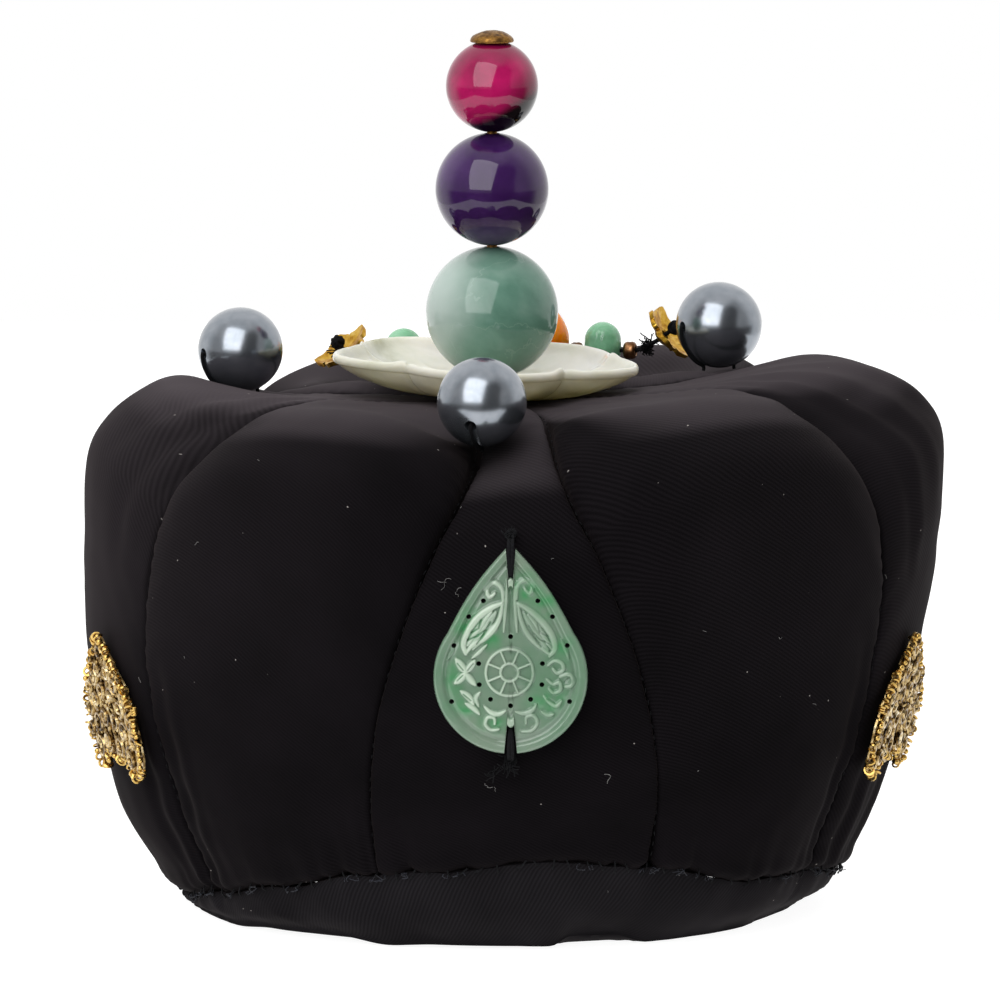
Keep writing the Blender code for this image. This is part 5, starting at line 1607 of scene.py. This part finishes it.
def addPlate(bm, side):
    # thin backing plate, cut out between the feet
    tall = ornament["height"]
    sheet = shapedGrid(bm, 56, 56, lambda u, v: (
        (2 * u - 1) * 0.95 * ornamentHalf(tall * v), tall * v,
        0.32 + 0.1 * grain(u * 9, v * 9, side, 1.0)))
    middles = [(face, face.calc_center_median() / mm)
               for face in {face for vert in sheet for face in vert.link_faces}]
    gone = [face for face, middle in middles if middle.y < archHeight(middle.x)]
    bmesh.ops.delete(bm, geom=gone, context="FACES")
    bmesh.ops.solidify(bm, geom=list(bm.faces), thickness=-0.35 * mm)


def addCoils(bm, side):
    # wire coils and balls round the rim, and round the two feet
    right = [(half, up, 0.0) for up, half in ornament["outline"]]
    left = [(-half, up, 0.0) for up, half in reversed(ornament["outline"])]
    feet = [(-half, up, 0.0) for up, half in ornament["feet"]]
    feet += [(half, up, 0.0) for up, half in reversed(ornament["feet"])]
    for line in (smoothPath(right + left, 4), smoothPath([left[-1]] + feet + [right[0]], 4)):
        spots = evenly(line, ornament["coilPitch"])
        for one, two in zip(spots, spots[1:]):
            at = Vector((one.x * 0.93, one.y * 0.955 + 0.5, 0.85)) + shaken(0.12)
            aim = (two - one) + shaken(0.3)
            if random.random() < ornament["rimBalls"]:
                ballAt(bm, at + upBy(0.2), random.uniform(0.45, 0.7))
            else:
                ringAt(bm, at, aim, random.uniform(0.55, 0.85))
    # a loose end at the outer side
    loose = Vector((-side * (ornamentHalf(13.0) + 0.5), 13.0, 0.9))
    for k in range(3):
        ringAt(bm, loose + Vector((0, 0.45 * k, 0)), (0.1, 1, 0.1), 0.55)


def addRibs(bm):
    # nine wires that run up the plate, closer together towards its top
    low, high = ornament["ribEnds"]
    for share in (0.2 * k for k in range(-4, 5)):
        rib = []
        for k in range(19):
            up = low + (high - low) * k / 18
            across = share * ornamentHalf(up) * 0.98
            if up > archHeight(across) + 0.5:
                rib.append(Vector((across + 0.12 * math.sin(2.1 * k), up, 0.8)))
        tubeAlong(bm, smoothPath(rib, 2), ornament["ribRadius"])


def addScrolls(bm):
    for across, up, reach, turns, begin in ornament["scrolls"]:
        for hand in ((1, -1) if across else (1,)):
            path = []
            for part in (k / 14 for k in range(15)):
                angle = math.radians(begin) + math.tau * turns * part
                r = reach * (1.0 - ornament["scrollIn"] * part)
                path.append((hand * (across + r * math.cos(angle)), up + r * math.sin(angle),
                             1.1 + 0.3 * part))
            tubeAlong(bm, smoothPath(path, 2), ornament["scrollRadius"])


def fillField(bm):
    # small rings and balls between the scrolls
    for _ in range(ornament["fill"]):
        up = random.uniform(0.8, 25.0)
        across = random.uniform(-1, 1) * ornamentHalf(up)
        if not insidePlate(across, up, 0.8):
            continue
        if random.random() < ornament["fieldRings"]:
            aim = (random.gauss(0, 0.35), random.gauss(0, 0.35), 1.0)
            ringAt(bm, (across, up, random.uniform(0.85, 1.25)), aim, random.uniform(0.5, 1.05))
        else:
            ballAt(bm, (across, up, random.uniform(0.9, 1.3)), random.uniform(0.3, 0.55))


def addOrnament(label, side):
    bm = bmesh.new()
    bright = bm.verts.layers.float.new("bright")
    addPlate(bm, side)
    plain = len(bm.verts)
    addCoils(bm, side)
    bm.verts.ensure_lookup_table()
    for vert in bm.verts[plain:]:
        vert[bright] = 1.0
    addRibs(bm)
    addScrolls(bm)
    fillField(bm)
    middle = Matrix.Translation((0, ornament["middle"] * mm, 0))
    fit = Matrix.Diagonal((ornament["narrow"], ornament["low"], 1.0, 1.0))
    place = ornamentPlace(side) @ middle @ fit @ middle.inverted()
    bmesh.ops.transform(bm, matrix=place, verts=bm.verts)
    makePiece("ornament_" + label, bm, giltSilver, ("applique_" + label,))


print("ornaments")
addOrnament("left", -1)
addOrnament("right", 1)

# strand of beads at the back

strand = {
    "y": 40.0, "bow": 4.0, "z": 92.4, "rise": 0.03, "half": 28.0,
    "beads": [("spacer_1", -24.6), ("green_left", -19.6), ("spacer_2", -14.7),
              ("amber_left", -9.9), ("spacer_3", -5.0), ("middle_bead", -1.7), ("spacer_4", 1.6),
              ("amber_right", 6.4), ("spacer_5", 11.5), ("green_right", 16.2), ("spacer_6", 21.1)],
    "bore": 0.85, "thread": 0.4, "spacerRadius": 1.6, "spacerHalf": 1.1,
    "greenRadius": 3.3, "greenFoot": -1.5, "greenTop": 5.2,
    "amberRadius": 3.8, "amberFoot": -1.4, "amberWide": 2.2, "amberTop": 9.6, "middleRadius": 2.1,
}
flowers = {"left": {"at": (-29.6, 33.0, 92.7), "faces": (-0.59, -0.25, 0.81), "turn": 20.0},
           "right": {"at": (26.6, 33.0, 95.9), "faces": (0.79, -0.25, 0.60), "turn": 55.0}}
flowerShape = {"radius": 5.6, "waist": 1.3, "cup": 1.7, "thick": 0.8, "petals": 5, "wide": 4.6}


def strandPoint(x):
    bow = strand["bow"] * (x / strand["half"]) ** 2
    return Vector((x, strand["y"] - bow, strand["z"] + strand["rise"] * x))


def strandAim(x):
    return (strandPoint(x + 0.5) - strandPoint(x - 0.5)).normalized()


def domeOutline(radius, foot, top):
    made = [(0.0, top)]
    for k in range(1, 13):
        angle = 0.5 * math.pi * k / 12
        made.append((radius * math.sin(angle), top - radius * (1 - math.cos(angle))))
    return made + [(radius, foot + 1.2), (0.95 * radius, foot + 0.6), (0.8 * radius, foot + 0.12),
                   (0.7 * radius, foot), (0.0, foot)]


def dropOutline(radius, foot, wide, top):
    made = [(0.0, top)]
    for k in range(1, 17):
        part = k / 16
        made.append((radius * math.sin(0.5 * math.pi * part) ** 1.1, top - (top - wide) * part))
    for k in range(1, 9):
        angle = 0.5 * math.pi * k / 9
        made.append((radius * math.cos(angle), wide + (foot - wide) * math.sin(angle)))
    return made + [(0.0, foot)]


def spacerOutline():
    r, half, bore = strand["spacerRadius"], strand["spacerHalf"], strand["bore"]
    return [(bore, half - 0.1), (bore + 0.12, half), (0.72 * r, half), (0.9 * r, 0.8 * half),
            (r, 0.4 * half), (0.97 * r, 0.0), (r, -0.4 * half), (0.9 * r, -0.8 * half),
            (0.72 * r, -half), (bore + 0.12, -half), (bore, 0.1 - half)]


def addStrand():
    for name, x in strand["beads"]:
        at, aim = strandPoint(x), strandAim(x)
        bm = bmesh.new()
        if name.startswith(("green", "amber")):
            green = name.startswith("green")
            outline = (domeOutline(strand["greenRadius"], strand["greenFoot"], strand["greenTop"])
                       if green else dropOutline(strand["amberRadius"], strand["amberFoot"],
                                                 strand["amberWide"], strand["amberTop"]))
            spinProfile(bm, outline, 40, False, Matrix.Translation(at * mm))
            made = makePiece(name + "_polished", bm, aventurine if green else amber,
                             (name,))
            cutters = bmesh.new()
            bmesh.ops.create_cone(cutters, cap_ends=True, segments=16, depth=16 * mm,
                                  radius1=strand["bore"] * mm, radius2=strand["bore"] * mm,
                                  matrix=facing(at, aim))
            cutThrough(made, cutters)
        elif name == "middle_bead":
            spinProfile(bm, drilledBall(strand["middleRadius"], strand["bore"], 18), 36, True,
                        facing(at, aim))
            makePiece("middle_bead_polished", bm, aventurine, (name,))
        else:
            spinProfile(bm, spacerOutline(), 28, True, facing(at, aim))
            makePiece(name + "_cast", bm, bronzeDark, (name,))


def addFlower(side, at, faces, turn):
    shape = flowerShape
    bm = bmesh.new()
    for k in range(shape["petals"]):
        angle = math.radians(turn) + math.tau * k / shape["petals"]

        def place(u, v):
            part = v if v <= 1.0 else 1.0
            r = shape["waist"] + (shape["radius"] - shape["waist"]) * part
            half = 0.5 * shape["wide"] * math.sin(math.pi * (0.16 + 0.6 * part)) ** 0.6
            s = 2 * u - 1
            r -= (shape["radius"] - shape["waist"]) * 0.3 * s * s * part * part
            z = shape["cup"] * (r / shape["radius"]) ** 2 + 0.55 * s * s * math.sin(math.pi * part)
            z -= 0.18 * math.exp(-(s / 0.16) ** 2) * math.sin(math.pi * part)
            z += 0.05 * math.cos(9.0 * s) * part * (1 - s * s)
            x, y = r, half * s
            return (x * math.cos(angle) - y * math.sin(angle),
                    x * math.sin(angle) + y * math.cos(angle), z)

        petal = shapedGrid(bm, 16, 18, place)
        sides = list({face for vert in petal for face in vert.link_faces})
        bmesh.ops.solidify(bm, geom=sides, thickness=-shape["thick"] * mm)
    spinProfile(bm, [(strand["bore"] + 0.1, 0.9), (1.3, 1.15), (1.9, 0.8), (2.0, 0.2),
                     (1.4, -0.3), (strand["bore"] + 0.1, -0.3)], 30, True)
    bmesh.ops.transform(bm, matrix=facing(at, faces), verts=bm.verts)
    makePiece("flower_" + side + "_gilt", bm, giltBrass, ("flower_" + side,))


def addKnot(side, at, size):
    bm = bmesh.new()
    bmesh.ops.create_icosphere(bm, subdivisions=3, radius=0.8 * size * mm,
                               matrix=Matrix.Translation(at * mm))
    for _ in range(7):
        axis = shaken(1).normalized()
        one = axis.orthogonal().normalized()
        two = axis.cross(one)
        loop = [at + (one * math.cos(a) + two * math.sin(a)) * size * 0.85 + axis * 0.3 * size
                * math.sin(2 * a) for a in [math.tau * k / 12 for k in range(12)]]
        windKnot(bm, loop, 0.3)
    makePiece("knot_" + side + "_wound", bm, threadBlack, ("knot_" + side,))


def addStrandThread():
    ends = []
    for side in ("left", "right"):
        centre, aim = Vector(flowers[side]["at"]), Vector(flowers[side]["faces"]).normalized()
        outer = centre + aim * 2.0
        addKnot(side, outer + aim * 1.2, 1.2)
        ends.append([outer, centre + aim * 0.4, centre - aim * 1.2])
    middle = [strandPoint(x) for x in (-25.6, -21.0, -15.0, -10.0, -5.0, 0.0, 5.0, 10.0, 15.0,
                                       20.0, 22.2)]
    bm = bmesh.new()
    tubeAlong(bm, smoothPath(ends[0] + middle + ends[1][::-1], 4), strand["thread"], 8)
    makePiece("strandCord", bm, threadBlack, ("strand_thread",))


print("strand")
addStrand()
for side, flower in flowers.items():
    addFlower(side, **flower)
addStrandThread()
addFibres("strandTufts", [((24.6, 35.0, 94.6), 1.8, (-0.3, 0, 0.6), 10),
                          ((24.0, 35.6, 93.6), 1.1, (0.1, 0, 0.1), 90),
                          ((-31.6, 32.4, 93.6), 1.4, (-0.4, 0, 0.3), 10)], 0.11)

# lint on the silk


def addLint():
    bm = bmesh.new()
    spots = [(-9.3, 66.0, 1.6, 3), (-7.5, 64.5, 1.2, 2), (14.0, 32.5, 1.4, 2), (-3.0, 31.0, 1.0, 3),
             (-48.0, 70.0, 1.2, 1), (38.0, 55.0, 1.0, 1), (60.0, 62.0, 1.1, 1), (-62.0, 45.0, 1.1, 1)]
    for _ in range(34):
        spots.append((random.uniform(-180, 180), random.uniform(8.0, 88.0),
                      random.uniform(0.3, 1.0), 1))
    for azimuth, height, size, count in spots:
        for _ in range(count):
            here, normal = onSilk(azimuth + random.uniform(-0.5, 0.5), rowAt(azimuth, height), 0.2)
            side = normal.orthogonal().normalized()
            other = normal.cross(side)
            heading = random.uniform(0, math.tau)
            path = [here]
            for _ in range(3):
                heading += random.gauss(0, 0.7)
                step = side * math.cos(heading) + other * math.sin(heading)
                path.append(path[-1] + step * size / 3 + normal * random.uniform(-0.02, 0.05))
            tubeAlong(bm, smoothPath(path, 2), 0.05, 4)
    makePiece("lint", bm, lintGrey)


print("lint")
addLint()
